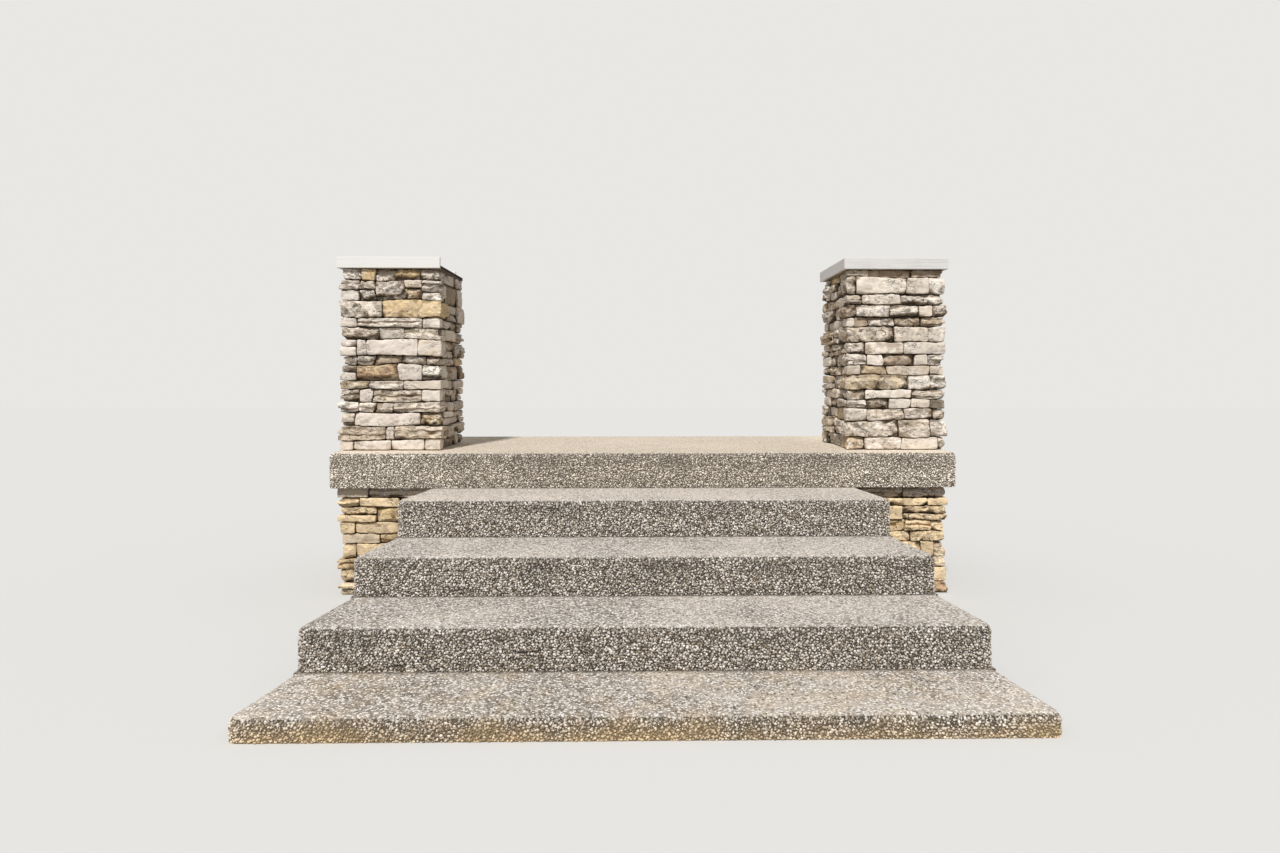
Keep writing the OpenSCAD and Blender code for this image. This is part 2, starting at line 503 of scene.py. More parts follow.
@dataclass(frozen=True)
class AggregateFinish:
    """Washed exposed-aggregate concrete.

    Small round stones are drawn in the paste between the modelled pebbles. Level faces
    are worn flush and pale. Upright ones are darker, with smudges under the nosing,
    and soil stains the foot of the lowest riser. Scales are per metre, and the starts
    are random numbers from which each of the five tones is taken, from the dark one on.
    """

    tread_paste: Colour = srgb(244, 229, 213)
    # Washed-out paste between the tread's stones; it also paints dark spots of shade between them.
    gap: Colour = srgb(96, 88, 80)
    riser_paste: Colour = srgb(62, 55, 47)
    # Painted shade inside the hollows, which are drawn flat.
    hollow: Colour = srgb(40, 34, 28)
    soil: Colour = srgb(208, 182, 142)
    soil_tint: Colour = srgb(252, 228, 184)
    bright: Colour = srgb(252, 246, 238)
    pale: Colour = srgb(225, 215, 203)
    middle: Colour = srgb(184, 173, 158)
    brown: Colour = srgb(156, 139, 117)
    dark: Colour = srgb(104, 95, 84)
    fresh_starts: tuple[float, ...] = (0.0, 0.08, 0.17, 0.4, 0.74)
    worn_starts: tuple[float, ...] = (0.0, 0.05, 0.08, 0.14, 0.25)
    large_scale: float = 78.0
    small_scale: float = 158.0
    speck_scale: float = 62.0
    grit_scale: float = 420.0
    # Painted shade: the riser's faces that look up, at the nosing and on its pebbles, are
    # multiplied by this, since they catch the most light.
    nosing: float = 0.72
    smudge_foot: float = 130 * MM
    smudge_full: float = 35 * MM
    lip_foot: float = 30 * MM
    lip_top: float = 5 * MM
    foot_reach: float = 120 * MM
    crease_reach: float = 30 * MM
    middle_half: float = 1.0
    ends_half: float = 1.5
    void_wave: float = 50 * MM
    stone_relief: float = 2.2 * MM
    grit_relief: float = 0.6 * MM

    def tone(self, graph: Graph, number: Socket, starts: tuple[float, ...]) -> Socket:
        """Turn a random number into one of the aggregate's colours."""
        tones = (self.dark, self.brown, self.middle, self.pale, self.bright)
        return graph.steps(number, starts, tones)

    def weathered(self, graph: Graph, colour: Socket, riser: BlockWeather) -> Socket:
        """Add the stains of a block: smudges below its nosing, and soil at its foot.

        Args:
            graph: The material's graph.
            colour: The clean colour.
            riser: Its stains.

        Returns:
            The stained colour.
        """
        height, top = graph.coordinate("Z"), riser.top
        smudge = graph.times(
            graph.remap(height, top - self.smudge_foot, top - self.smudge_full, 0.12, 1.0),
            graph.remap(height, top - self.lip_foot, top - self.lip_top, 1.0, 0.0),
            graph.remap(graph.grain((4.5, 4.5, 2.0), 5, 0.6), 0.38, 0.68, 0.1, 0.46))
        colour = graph.mix(smudge, colour, self.riser_paste)
        # Painted shade at the riser's foot, in the crease over the tread below; the lowest riser's
        # foot is paler instead.
        colour = graph.shaded(colour, graph.remap(
            height, riser.foot, riser.foot + self.foot_reach, riser.foot_shade, 1.0))
        level = graph.minus(height, graph.times(graph.noise(9, 5), riser.soil_top))
        share = graph.times(graph.remap(level, -0.45 * riser.soil_top, 0.5 * riser.soil_top,
                                        riser.soil_share, 0.0),
                            graph.remap(graph.noise(2.2), 0.35, 0.6, 0.4, 1.0))
        colour = graph.mix(share, colour, self.soil_tint, "MULTIPLY")
        colour = graph.mix(graph.times(share, 0.4), colour, self.soil)
        return graph.shaded(colour, graph.remap(
            graph.off(graph.coordinate("X"), 0.0), self.middle_half, self.ends_half, 1.0,
            riser.ends))

    def hollowed(self, graph: Graph, colour: Socket, voids: tuple[Void, ...]) -> Socket:
        """Paint the shade inside the hollows, which are drawn flat: thin ellipses, bent by one
        noise and frayed by another.

        Args:
            graph: The material's graph.
            colour: The colour without them.
            voids: The hollows.

        Returns:
            The colour with them.
        """
        x, z = graph.coordinate("X"), graph.coordinate("Z")
        bent = graph.maths("ADD", z, graph.times(graph.minus(graph.noise(16, 3), 0.5),
                                                 self.void_wave))
        out = graph.noise(95, 3)
        for void in voids:
            away = out
            for place, middle, half in ((x, void.x, void.half_length),
                                        (bent, void.z, void.half_height)):
                way = graph.maths("DIVIDE", graph.minus(place, middle), half)
                away = graph.maths("ADD", away, graph.times(way, way))
            colour = graph.mix(graph.remap(away, 1.1, 1.6, 0.95, 0.0), colour, self.hollow)
        return colour

    def tread(self, graph: Graph, riser: BlockWeather) -> tuple[Socket, Socket]:
        """Draw the level faces: two sizes of flush stones in pale paste.

        The stones' cells lie in plan, so that every stone is cut at its widest.

        Args:
            graph: The material's graph.
            riser: How far the tread's paste is washed out.

        Returns:
            The colour, and the height of the stones over the paste.
        """
        plan = graph.stretch((1, 1, 0))
        tone, dome = graph.stones(self.large_scale, 0.52, plan)
        small_tone, small_dome = graph.stones(self.small_scale, 0.5, plan)
        washed = graph.times(graph.remap(graph.noise(1.7, 6), 0.42, 0.62, 0.95, 0.6),
                             graph.remap(graph.noise(30, 3), 0.3, 0.7, 0.6, 1.0), riser.washed)
        # Painted shade: dark spots between the tread's stones, where the paste is washed out.
        speck_shade = graph.times(graph.remap(graph.noise(self.speck_scale, 2, 0.5, plan), 0.56, 0.62),
                             washed, 0.8)
        colour = graph.mix(washed, self.tread_paste, self.gap)
        crease = graph.remap(graph.coordinate("Y"), riser.crease - self.crease_reach,
                             riser.crease - 2 * MM, 0.0, 0.6)
        for share, over in ((graph.times(small_dome, 0.9),
                             self.tone(graph, small_tone, self.worn_starts)),
                            (graph.remap(dome, 0.0, 0.35),
                             self.tone(graph, tone, self.worn_starts)),
                            (riser.film, self.tread_paste),
                            (speck_shade, self.gap),
                            (crease, self.riser_paste)):
            colour = graph.mix(share, colour, over)
        return colour, graph.maths("MAXIMUM", dome, graph.times(small_dome, 0.5))

    def block(self, name: str, riser: BlockWeather) -> Material:
        """Make the material of a poured block.

        Args:
            name: Name of the material.
            riser: Its stains.

        Returns:
            The material.
        """
        graph = Graph(name)
        upward = graph.part(graph.facing, "Z")
        level = graph.remap(upward, 0.7, 0.97)
        tread, tread_height = self.tread(graph, riser)
        tone, dome = graph.stones(self.small_scale, 0.6)
        grit = graph.noise(self.grit_scale, 2, 0.6)
        stones = graph.mix(0.25, self.tone(graph, tone, self.fresh_starts), self.middle)
        face = graph.mix(graph.remap(dome, 0.0, 1.0, 0.0, 0.85), self.riser_paste, stones)
        # Painted shade on the nosing, which faces up into the light.
        face = graph.shaded(face, graph.remap(upward, 0.2, 0.7, 1.0, self.nosing))
        colour = self.weathered(graph, graph.mix(level, face, tread), riser)
        colour = self.hollowed(graph, colour, riser.voids)
        colour = graph.mix(graph.remap(grit, 0.35, 0.65, 0.22, 0.0), colour, self.dark)
        height = graph.part(graph.mix(level, dome, tread_height), "X")
        normal = graph.bump(height, self.stone_relief)
        return graph.close(colour, 0.85, graph.bump(grit, self.grit_relief, 0.8, normal))

    def pebbles(self, name: str, riser: BlockWeather) -> Material:
        """Make the material of the modelled pebbles, from their random tone.

        Args:
            name: Name of the material.
            riser: Its stains.

        Returns:
            The material.
        """
        graph = Graph(name)
        colour = self.tone(graph, graph.value("tone"), self.fresh_starts)
        veins = graph.noise(260, 3)
        colour = graph.mix(graph.remap(veins, 0.4, 0.75, 0.0, 0.3), colour, self.middle)
        # Painted shade on pebbles whose seat looks up, on the nosing.
        light = graph.times(graph.remap(graph.noise(34, 2), 0.35, 0.65, 0.84, 1.06),
                            graph.remap(graph.value("upward"), 0.15, 0.75, 1.0, self.nosing))
        colour = self.weathered(graph, graph.shaded(colour, light), riser)
        return graph.close(colour, 0.62, graph.bump(veins, 0.5 * MM), gloss=0.4)


@dataclass
class BlockPlan:
    """Outline of a poured block in plan: a front, two round corners and splayed sides.

    Attributes:
        front: Y of the front.
        rear: Y of the back.
        half_front: Half the width at the front, before the corners are rounded.
        half_rear: Half the width at the back.
        corner_r: Radius of the corners.
    """

    front: float
    rear: float
    half_front: float
    half_rear: float
    corner_r: float

    @classmethod
    def of(cls, node: str, corner_r: float) -> "BlockPlan":
        """Read a block's plan from its node.

        The widest place is where a rounded corner meets its side. The width at the
        front follows from there in a few rounds, because what the rounding took off
        depends on the splay.

        Args:
            node: Name of the node.
            corner_r: Radius of the corners.

        Returns:
            The plan.
        """
        low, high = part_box(node)
        verts = np.array([v.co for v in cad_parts[node].data.vertices])
        half_rear = float(verts[np.abs(verts[:, 1] - high.y) < 0.1 * MM, 0].max())
        half_front = high.x
        for _ in range(4):
            lean = (half_front - half_rear) / (high.y - low.y)
            slant = math.hypot(1, lean)
            half_front = high.x + corner_r * (lean + slant - 1 / slant)
        return cls(low.y, high.y, half_front, half_rear, corner_r)

    def __post_init__(self) -> None:
        """Work out the lengths of the outline's stretches."""
        self.lean = (self.half_front - self.half_rear) / (self.rear - self.front)
        self.slant = math.hypot(1, self.lean)
        self.line = self.half_front - (self.lean + self.slant) * self.corner_r
        self.arc = (math.pi / 2 + math.atan(self.lean)) * self.corner_r
        self.tangent_x = self.line + self.corner_r / self.slant
        self.tangent_y = self.front + self.corner_r * (1 + self.lean / self.slant)
        self.side = math.hypot(self.tangent_x - self.half_rear, self.rear - self.tangent_y)
        self.reach = self.line + self.arc + self.side

    def at(self, along: Array) -> tuple[Array, Array]:
        """Work out points and outward normals along the outline.

        Distances run from the middle of the front, to the right where positive. They
        go along the front, round the corner by turning about its centre, along the
        side, and then across the back towards the middle.

        Args:
            along: Distances along the outline.

        Returns:
            Points in plan and unit normals in plan, one row each.
        """
        run = np.abs(along)
        sign = np.where(along < 0, -1.0, 1.0)
        turned = np.clip(run - self.line, 0, self.arc) / self.corner_r
        passed = np.clip(run - self.line - self.arc, 0, self.side)
        behind = np.clip(run - self.reach, 0, None)
        nx, ny = np.sin(turned), -np.cos(turned)
        x = np.minimum(run, self.line) + self.corner_r * nx - passed * self.lean / self.slant
        y = self.front + self.corner_r * (1 + ny) + passed / self.slant
        back = behind > 0
        x, nx = np.where(back, self.half_rear - behind, x), np.where(back, 0.0, nx)
        y, ny = np.where(back, self.rear, y), np.where(back, 1.0, ny)
        return np.stack([sign * x, y], 1), np.stack([sign * nx, ny], 1)


# Sides of a pebble's foot and of its crown.
PEBBLE_SIDES = 4


@dataclass
class PouredBlock:
    """A poured step or landing with its pebbles.

    The pebbles of the upright faces lie on the plan's outline carried up the face and
    round the nosing. Those of the tread are worn flush, and belong to the finish.

    Attributes:
        node: Its node.
        covered_from: Y from which the next block or a wall covers its top.
        weather: Its stains.
        seed: Seed of its pebbles.
        open_back: Whether its back shows.
        finish: Its concrete.
        pitch: Distance between pebbles.
        nosing_r: Radius of the nosing.
        corner_r: Radius of the corners in plan.
        pebble_r: Middle radius of a pebble.
        pebble_h: Height of a pebble over its foot.
        sunk: How deep its foot lies in the paste.
        jitter: How far a pebble may lie off its place, in pitches.
    """

    node: str
    covered_from: float
    weather: BlockWeather
    seed: int
    open_back: bool
    finish: AggregateFinish
    pitch: float
    nosing_r: float = 28 * MM
    corner_r: float = 45 * MM
    pebble_r: float = 6.0 * MM
    pebble_h: float = 6.0 * MM
    sunk: float = 1.5 * MM
    jitter: float = 0.42

    def grid(self, width: float, height: float, rng: Random) -> tuple[Array, Array]:
        """Spread spots evenly but not regularly over a rectangle.

        The spots are rows, every second one moved by half a pitch, and each spot is moved
        at random by up to the jitter.

        Args:
            width: Width of the rectangle.
            height: Its height.
            rng: Source of the random moves.

        Returns:
            The spots' two coordinates.
        """
        step = self.pitch * math.sqrt(3) / 2
        row, column = np.meshgrid(np.arange(int(height / step)),
                                  np.arange(int(width / self.pitch)), indexing="ij")
        first = (column + 0.25 + 0.5 * (row % 2)) * self.pitch
        second = (row + 0.5) * step
        first = first + rng.uniform(-self.jitter, self.jitter, first.shape) * self.pitch
        second = second + rng.uniform(-self.jitter, self.jitter, second.shape) * step
        return first.ravel(), second.ravel()

    def face_seats(self, rng: Random) -> tuple[Array, Array, Array]:
        """Choose the seats of the pebbles on the upright faces and the nosing.

        Up to the foot of the nosing a seat lies on the upright face, and then it goes
        round a quarter circle. Where the next block covers the top, and at the back,
        the face is upright to its top.

        Args:
            rng: Source of the random draws.

        Returns:
            Points, outward unit normals, and each pebble's share of the full height.
        """
        plan = BlockPlan.of(self.node, self.corner_r)
        low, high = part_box(self.node)
        tall = high.z - low.z
        straight = tall - self.nosing_r
        rise = straight + self.nosing_r * math.pi / 2
        reach = plan.reach + (plan.half_rear if self.open_back else 0.0)
        along, up = self.grid(2 * reach, rise, rng)
        along -= reach
        spots, outward = plan.at(along)
        rounded = (spots[:, 1] < self.covered_from) & (outward[:, 1] < 0.9)
        angle = np.where(rounded, np.clip((up - straight) / self.nosing_r, 0, math.pi / 2), 0)
        inset = self.nosing_r * (1 - np.cos(angle))
        z = np.minimum(up, straight) + self.nosing_r * np.sin(angle)
        z = low.z + np.where(rounded, z, up)
        kept = rounded | (up < tall - 0.4 * self.pitch)
        for void in self.weather.voids:
            across = (spots[:, 0] - void.x) / void.half_length
            above = (z - void.z) / void.half_height
            kept &= (across ** 2 + above ** 2 > 1) | (outward[:, 1] > -0.5)
        points = np.column_stack([spots - outward * inset[:, None], z])
        normals = np.column_stack([outward * np.cos(angle)[:, None], np.sin(angle)])
        share = 1 - 0.75 * np.clip((up - straight) / (rise - straight), 0, 1) * rounded
        return points[kept], normals[kept], share[kept]

    def proud_pebbles(self, parts: MeshParts, rng: Random) -> None:
        """Set the pebbles of the upright faces.

        A pebble has a four-sided foot just under the paste and a crown of four corners
        turned by an eighth of a turn. Its corners move in and out at random, and it is
        stretched and turned about its normal.

        Args:
            parts: The piece that they join.
            rng: Source of the random shapes.
        """
        points, normals, share = self.face_seats(rng)
        n = len(points)
        # No face looks along this direction, so the product always has a length.
        side = np.cross(normals, np.array([0.31, 0.17, 0.94]))
        side /= np.linalg.norm(side, axis=1, keepdims=True)
        other = np.cross(normals, side)
        corner = np.arange(PEBBLE_SIDES)
        foot_angle = rng.uniform(0, 2 * math.pi, (n, 1)) + corner * 2 * math.pi / PEBBLE_SIDES
        angle = np.concatenate([foot_angle, foot_angle + math.pi / PEBBLE_SIDES], 1)
        reach = np.repeat([1.0, 0.6], PEBBLE_SIDES)
        size = self.pebble_r * rng.uniform(0.5, 1.25, (n, 1))
        radius = size * reach * rng.uniform(0.84, 1.14, angle.shape)
        stretch = rng.uniform(0.8, 1.25, (n, 1))
        height = self.pebble_h * share[:, None] * rng.uniform(0.6, 1.15, (n, 1))
        lift = height * np.repeat([0.0, 1.0], PEBBLE_SIDES) - self.sunk
        lift = lift * rng.uniform(0.85, 1.15, lift.shape)
        across = radius * np.cos(angle) * stretch
        down = radius * np.sin(angle) / stretch
        verts = (points[:, None, :] + side[:, None, :] * across[..., None]
                 + other[:, None, :] * down[..., None] + normals[:, None, :] * lift[..., None])
        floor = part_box(self.node)[0].z
        verts[..., 2] = np.maximum(verts[..., 2], floor + 0.3 * MM)
        first = (np.arange(n) * 2 * PEBBLE_SIDES)[:, None]
        following = (corner + 1) % PEBBLE_SIDES
        lower = np.stack([corner, following, corner + PEBBLE_SIDES], 1)
        upper = np.stack([following, following + PEBBLE_SIDES, corner + PEBBLE_SIDES], 1)
        belt = (first[:, :, None] + np.concatenate([lower, upper])[None]).reshape(-1, 3)
        faces = [first + corner[::-1], first + PEBBLE_SIDES + corner, belt]
        tone = np.repeat(rng.uniform(0, 1, n), 2 * PEBBLE_SIDES)
        upward = np.repeat(normals[:, 2], 2 * PEBBLE_SIDES)
        parts.add(verts.reshape(-1, 3), faces, tone=tone, upward=upward)

    def dress(self) -> None:
        """Give the block its finish and set its pebbles."""
        refinish(self.node, self.finish.block(f"{self.node}_concrete", self.weather))
        stone = self.finish.pebbles(f"{self.node}_pebble_stone", self.weather)
        parts = MeshParts()
        self.proud_pebbles(parts, np.random.default_rng(self.seed))
        install(parts.build(f"{self.node}_pebbles", 80), "aggregate_concrete", stone)


@dataclass(frozen=True)
class CutShape:
    """How a stone's face was split, with depths in metres.

    Attributes:
        dome: How far the edges fall behind the middle.
        chips: Number of flat chips struck off its edges.
        slope: Steepest slope of a chip.
        inner: How near the middle a chip may start, as a share of the way out.
        ledge: Height of the steps between its layers.
        grain: Height of the unevenness.
        crease: Depth of the sharp creases.
        arris: Middle radius to which its edges are worn round.
        scallop: Largest depth of the three-sided pieces struck off its edges.
        coarse: How much of the finish's fine unevenness it shows.
    """

    dome: float
    chips: int
    slope: float
    inner: float
    ledge: float
    grain: float
    crease: float
    arris: float
    scallop: float
    coarse: float


class Cut(Enum):
    """The kinds of split face."""

    SMOOTH = CutShape(1.5 * MM, 6, 0.8, 0.66, 0, 1.2 * MM, 1.5 * MM, 2.5 * MM, 5 * MM, 0.3)
    ROUGH = CutShape(1.5 * MM, 10, 1.2, 0.2, 0, 2.2 * MM, 8 * MM, 2.2 * MM, 14 * MM, 1.0)
    LAYERED = CutShape(1.0 * MM, 6, 0.9, 0.5, 15 * MM, 1.4 * MM, 4 * MM, 1.8 * MM, 9 * MM, 0.9)
    BEVELLED = CutShape(1.0 * MM, 8, 1.3, 0.26, 0, 1.2 * MM, 2 * MM, 2.0 * MM, 15 * MM, 0.75)


class Tone(Enum):
    """The stones' colours."""

    WHITE = srgb(227, 218, 206)
    PALE = srgb(223, 212, 199)
    LILAC = srgb(218, 206, 195)
    CREAM = srgb(220, 208, 192)
    BEIGE = srgb(216, 203, 186)
    GREY = srgb(203, 192, 178)
    TAN = srgb(200, 184, 162)
    HONEY = srgb(208, 186, 153)
    OLIVE = srgb(204, 192, 172)
    GOLD = srgb(214, 190, 154)
    BUFF = srgb(232, 207, 168)
    SAND = srgb(226, 206, 176)
    OCHRE = srgb(198, 172, 130)
    RUST = srgb(190, 160, 128)
    BROWN = srgb(166, 146, 124)
    DARK = srgb(136, 125, 109)
    MORTAR = srgb(58, 50, 42)


# Tones of the stones that lie back in the shade.
DARK_TONES = (Tone.BROWN, Tone.DARK, Tone.GREY)


@dataclass(frozen=True)
class Stone:
    """One stone's tone and kind of split face, and the tone that blotches it."""

    tone: Tone
    cut: Cut
    second: Optional[Tone] = None

    @classmethod
    def read(cls, text: str) -> "Stone":
        """Read a stone.

        Args:
            text: Such as "tan", which is smooth, "tan rough", or "tan+brown rough" for a
                second tone.

        Returns:
            The stone.
        """
        tones, _, cut = text.upper().partition(" ")
        tone, _, second = tones.partition("+")
        return cls(Tone[tone], Cut[cut or "SMOOTH"], Tone[second] if second else None)


@dataclass(frozen=True)
class Mix:
    """A quarry's mix: shares of the tones and of the kinds of split face."""

    tones: dict[Tone, float]
    cuts: dict[Cut, float]

    def draw(self, rng: Random) -> Stone:
        """Pick a tone and a kind of face at random by their shares.

        Args:
            rng: Source of the random draws.

        Returns:
            The stone.
        """
        picks = []
        for table in (self.tones, self.cuts):
            shares = np.array(list(table.values()))
            picks.append(list(table)[rng.choice(len(table), p=shares / shares.sum())])
        return Stone(picks[0], picks[1])


# The piers' grey stones, the foundation's buff ones, and the greyer ones of the
# foundation's top band, whose tones paint the shade under the slab's overhang.
GREY_MIX = Mix({Tone.PALE: 5, Tone.WHITE: 1.5, Tone.LILAC: 2, Tone.BEIGE: 4, Tone.GREY: 2,
                Tone.TAN: 1.5, Tone.OLIVE: 1, Tone.GOLD: 0.6, Tone.OCHRE: 0.4, Tone.BROWN: 1},
               {Cut.SMOOTH: 4, Cut.ROUGH: 3, Cut.LAYERED: 3, Cut.BEVELLED: 1.2})
BUFF_MIX = Mix({Tone.BUFF: 8, Tone.SAND: 4, Tone.GOLD: 2, Tone.TAN: 0.8, Tone.WHITE: 0.2,
                Tone.OCHRE: 0.4, Tone.RUST: 0.3, Tone.BROWN: 0.1},
               {Cut.SMOOTH: 3, Cut.ROUGH: 3, Cut.LAYERED: 4, Cut.BEVELLED: 2})
SHADED_TOP_MIX = Mix({Tone.GREY: 3, Tone.BROWN: 0.5, Tone.BEIGE: 1, Tone.LILAC: 3},
                    {Cut.SMOOTH: 3, Cut.ROUGH: 1, Cut.LAYERED: 2})


@dataclass
class Cell:
    """A place in a band of the wall: a width and the stones stacked in it, top first."""

    width: float
    stones: list[Stone]


def read_band(text: str) -> list[Cell]:
    """Read a band of a laying plan.

    Cells are parted by commas. Each starts with its width in millimetres, and its
    stones follow from the top down, parted by slashes.

    Args:
        text: The band's line of the plan.

    Returns:
        The cells from left to right as seen from outside.
    """
    cells = []
    for part in text.split(","):
        width, _, rest = part.strip().partition(" ")
        cells.append(Cell(float(width) * MM, [Stone.read(stone) for stone in rest.split("/")]))
    return cells


# Bands of the piers' fronts from the top down: height and set-back in millimetres, then
# the stones. Some brown stones paint shade: those of the right pier's top band under its
# cap, and brown ones that sit deep between paler stones.
LEFT_FRONT = (
    (68, 4, "120 pale rough, 85 ochre, 115 grey rough, 150 ochre+gold rough, 125 pale+grey rough"),
    (117, 0, "110 pale layered/white, 95 beige layered/pale rough, "
         "175 pale+grey rough, 105 pale/gold rough, 110 pale layered/white layered"),
    (102, -8, "250 cream+beige rough, 345 gold+ochre bevelled"),
    (57, 1, "100 pale, 385 pale+beige layered, 110 white"),
    (68, -2, "225 beige+tan rough, 150 grey+pale, 220 cream+olive layered"),
    (97, -4, "95 pale+brown bevelled/white, 60 lilac, 305 lilac+pale, 135 pale"),
    (50, 9, "95 beige rough, 105 beige layered, 160 brown+tan bevelled, "
         "145 pale bevelled, 90 beige rough"),
    (90, -1, "95 pale+tan rough/pale, 245 rust+honey bevelled, 145 pale, 110 white rough"),
    (54, -5, "170 olive+ochre rough, 205 pale+grey layered, 220 cream"),
    (74, 3, "110 beige+brown layered, 80 lilac, 290 beige+tan layered, 115 white"),
    (60, -9, "110 pale layered, 95 cream layered, 110 grey+brown rough, 280 beige+grey layered"),
    (80, 0, "85 pale+tan layered, 390 lilac+pale, 120 gold+white rough"),
    (78, -6, "270 tan+beige layered, 50 lilac, 275 tan+beige layered"),
    (61, 2, "80 beige, 220 pale, 200 white, 95 cream"),
)
RIGHT_FRONT = (
    (45, 13, "140 tan, 225 brown+tan, 200 brown layered"),
    (99, -6, "60 pale+brown rough, 320 cream+pale, 145 beige+pale, 95 white+grey bevelled"),
    (63, -1, "95 grey/pale layered, 220 beige+pale, 265 pale+grey rough"),
    (67, -8, "60 brown rough, 205 pale+cream bevelled, 170 cream+pale bevelled, "
         "85 beige, 75 brown+pale rough"),
    (57, 5, "50 pale, 75 brown, 155 pale rough, 150 brown+grey rough, 140 tan+brown layered"),
    (88, -4, "290 beige+tan rough, 195 beige+grey, 100 pale"),
    (72, -2, "115 grey+pale rough, 225 cream+brown, 250 pale+beige"),
    (65, 4, "125 pale+grey layered, 95 pale, 180 brown+tan bevelled, 80 white, 100 pale layered"),
    (56, 4, "90 grey, 140 honey+brown bevelled, 235 beige+tan, 85 cream"),
    (84, -4, "375 tan+honey rough, 120 white+grey bevelled, 90 pale rough"),
    (55, 0, "115 pale+brown rough, 250 pale+beige, 200 cream+tan layered"),
    (55, 6, "120 pale layered, 125 grey+brown rough, 120 pale, 105 cream, 85 dark"),
    (67, -2, "125 pale, 230 beige+brown layered, 175 pale+brown bevelled, 70 beige+brown rough"),
    (98, -7, "315 cream+pale rough, 165 beige+grey layered, 90 pale+grey layered"),
    (74, 0, "110 gold+white rough, 225 pale+beige bevelled, 225 cream+white, 40 cream rough"),
)


@dataclass
class Masonry:
    """Walls of coursed ledgestone that share their bands and meet in corner stones.

    Every band has an L-shaped stone at each corner. Its long leg alternates from band
    to band between the two walls, and the stone belongs to the wall of its long leg.

    Attributes:
        height: Height of the walls.
        floor: Height of their foot.
        bands: Heights of the bands from the ground up, scaled to the height.
        backs: How many millimetres each band lies back, or none to draw them.
        mix: Mix for stones that no plan names.
        seed: Seed of every draw.
        top_mix: Mix of the top band, where it differs.
        foot_gap: Height of the joint under the lowest band.
        joint: Narrowest gap between stones.
        open_joint: How much wider it gets where edges are broken.
        wave: How far the lines between bands wander.
        back: Depth of the stones.
        bed_depth: Depth of the mortar behind the face.
        facing: Thickness of the facing.
        edge: Width of a stone's rounded edge.
        deepest: Depth that the deepest chips near.
        chip_reach: How far a chip may reach in from the edge.
        free_depth: Depth from which the face is drawn together, to clear the mortar.
        shelter: How much further back the dark stones lie.
        corner_cut: Range of the radius of a stone's corners seen from outside.
        scallop_pitch: Length of edge for each scallop.
        long_leg: Range of a corner stone's long leg.
        short_leg: Range of its short leg.
        narrow: Range of the narrow stones' widths.
        wide: Range of the other ones' widths.
        narrow_share: Share of narrow stones.
        least: Least width of a band's last stone.
        tall: Height of a band from which two stones may lie over each other.
        pair_share: Share of the places where they do.
        lean: How far the joints beside stones may lean.
        set_backs: Range of how many millimetres a drawn band lies back.
    """

    height: float
    floor: float
    bands: tuple[float, ...]
    backs: tuple[float, ...]
    mix: Mix
    seed: int
    top_mix: Optional[Mix] = None
    foot_gap: float = 0.0
    joint: float = 3.0 * MM
    open_joint: float = 3.5 * MM
    wave: float = 6 * MM
    back: float = 37 * MM
    bed_depth: float = 34 * MM
    facing: float = 40 * MM
    edge: float = 3.0 * MM
    deepest: float = 16 * MM
    chip_reach: float = 42 * MM
    free_depth: float = 21 * MM
    shelter: float = 9 * MM
    corner_cut: tuple[float, float] = (0.5 * MM, 12 * MM)
    scallop_pitch: float = 55 * MM
    long_leg: tuple[float, float] = (0.15, 0.27)
    short_leg: tuple[float, float] = (0.065, 0.12)
    narrow: tuple[float, float] = (0.07, 0.16)
    wide: tuple[float, float] = (0.16, 0.33)
    narrow_share: float = 0.4
    least: float = 60 * MM
    tall: float = 70 * MM
    pair_share: float = 0.3
    lean: float = 18 * MM
    set_backs: tuple[float, float] = (-5, 9)

    def __post_init__(self) -> None:
        """Scale the bands and draw what the walls share."""
        heights = np.array(self.bands) * self.height / sum(self.bands)
        self.lines = self.floor + np.concatenate([[0.0], np.cumsum(heights)])
        self.wander, self.fray, self.grain, self.swell = (
            WaveField(self.seed + k, wavelength)
            for k, wavelength in enumerate((0.3, 0.045, 0.026, 0.075), 1))
        self.rng = np.random.default_rng(self.seed)
        drawn = self.rng.uniform(*self.set_backs, len(heights))
        self.course_back = np.array(self.backs or drawn) * MM

    def rise(self, band: int) -> float:
        """Give the height of a band."""
        return self.lines[band + 1] - self.lines[band]

    def line(self, index: int, points: Array) -> Array:
        """Give the height of the line under band `index` at places in plan.

        The lowest and highest lines are level. The others wander by a few millimetres.

        Args:
            index: Number of the band over the line.
            points: The places, with Z at 0.

        Returns:
            The height at each place.
        """
        if index in (0, len(self.lines) - 1):
            return np.full(points.shape[:-1], self.lines[index])
        shifted = points.copy()
        shifted[..., 2] = index * 0.7
        return self.lines[index] + self.wave * self.wander.at(shifted)

    def broken(self, *place: Union[Array, float]) -> Array:
        """Give how far a stone's edge is broken back at places along it."""
        return self.open_joint * np.clip(self.fray.at(places(*place)) + 0.15, 0, 1)


@dataclass(frozen=True)
class Laying:
    """How a wall's stones are laid.

    Attributes:
        pitch: Spacing of the mesh over them.
        uneven: Largest distance that a stone stands out or back from its course.
        recess: How far those between the corner stones lie behind their course.
    """

    pitch: float
    uneven: float = 8 * MM
    recess: float = 0.0


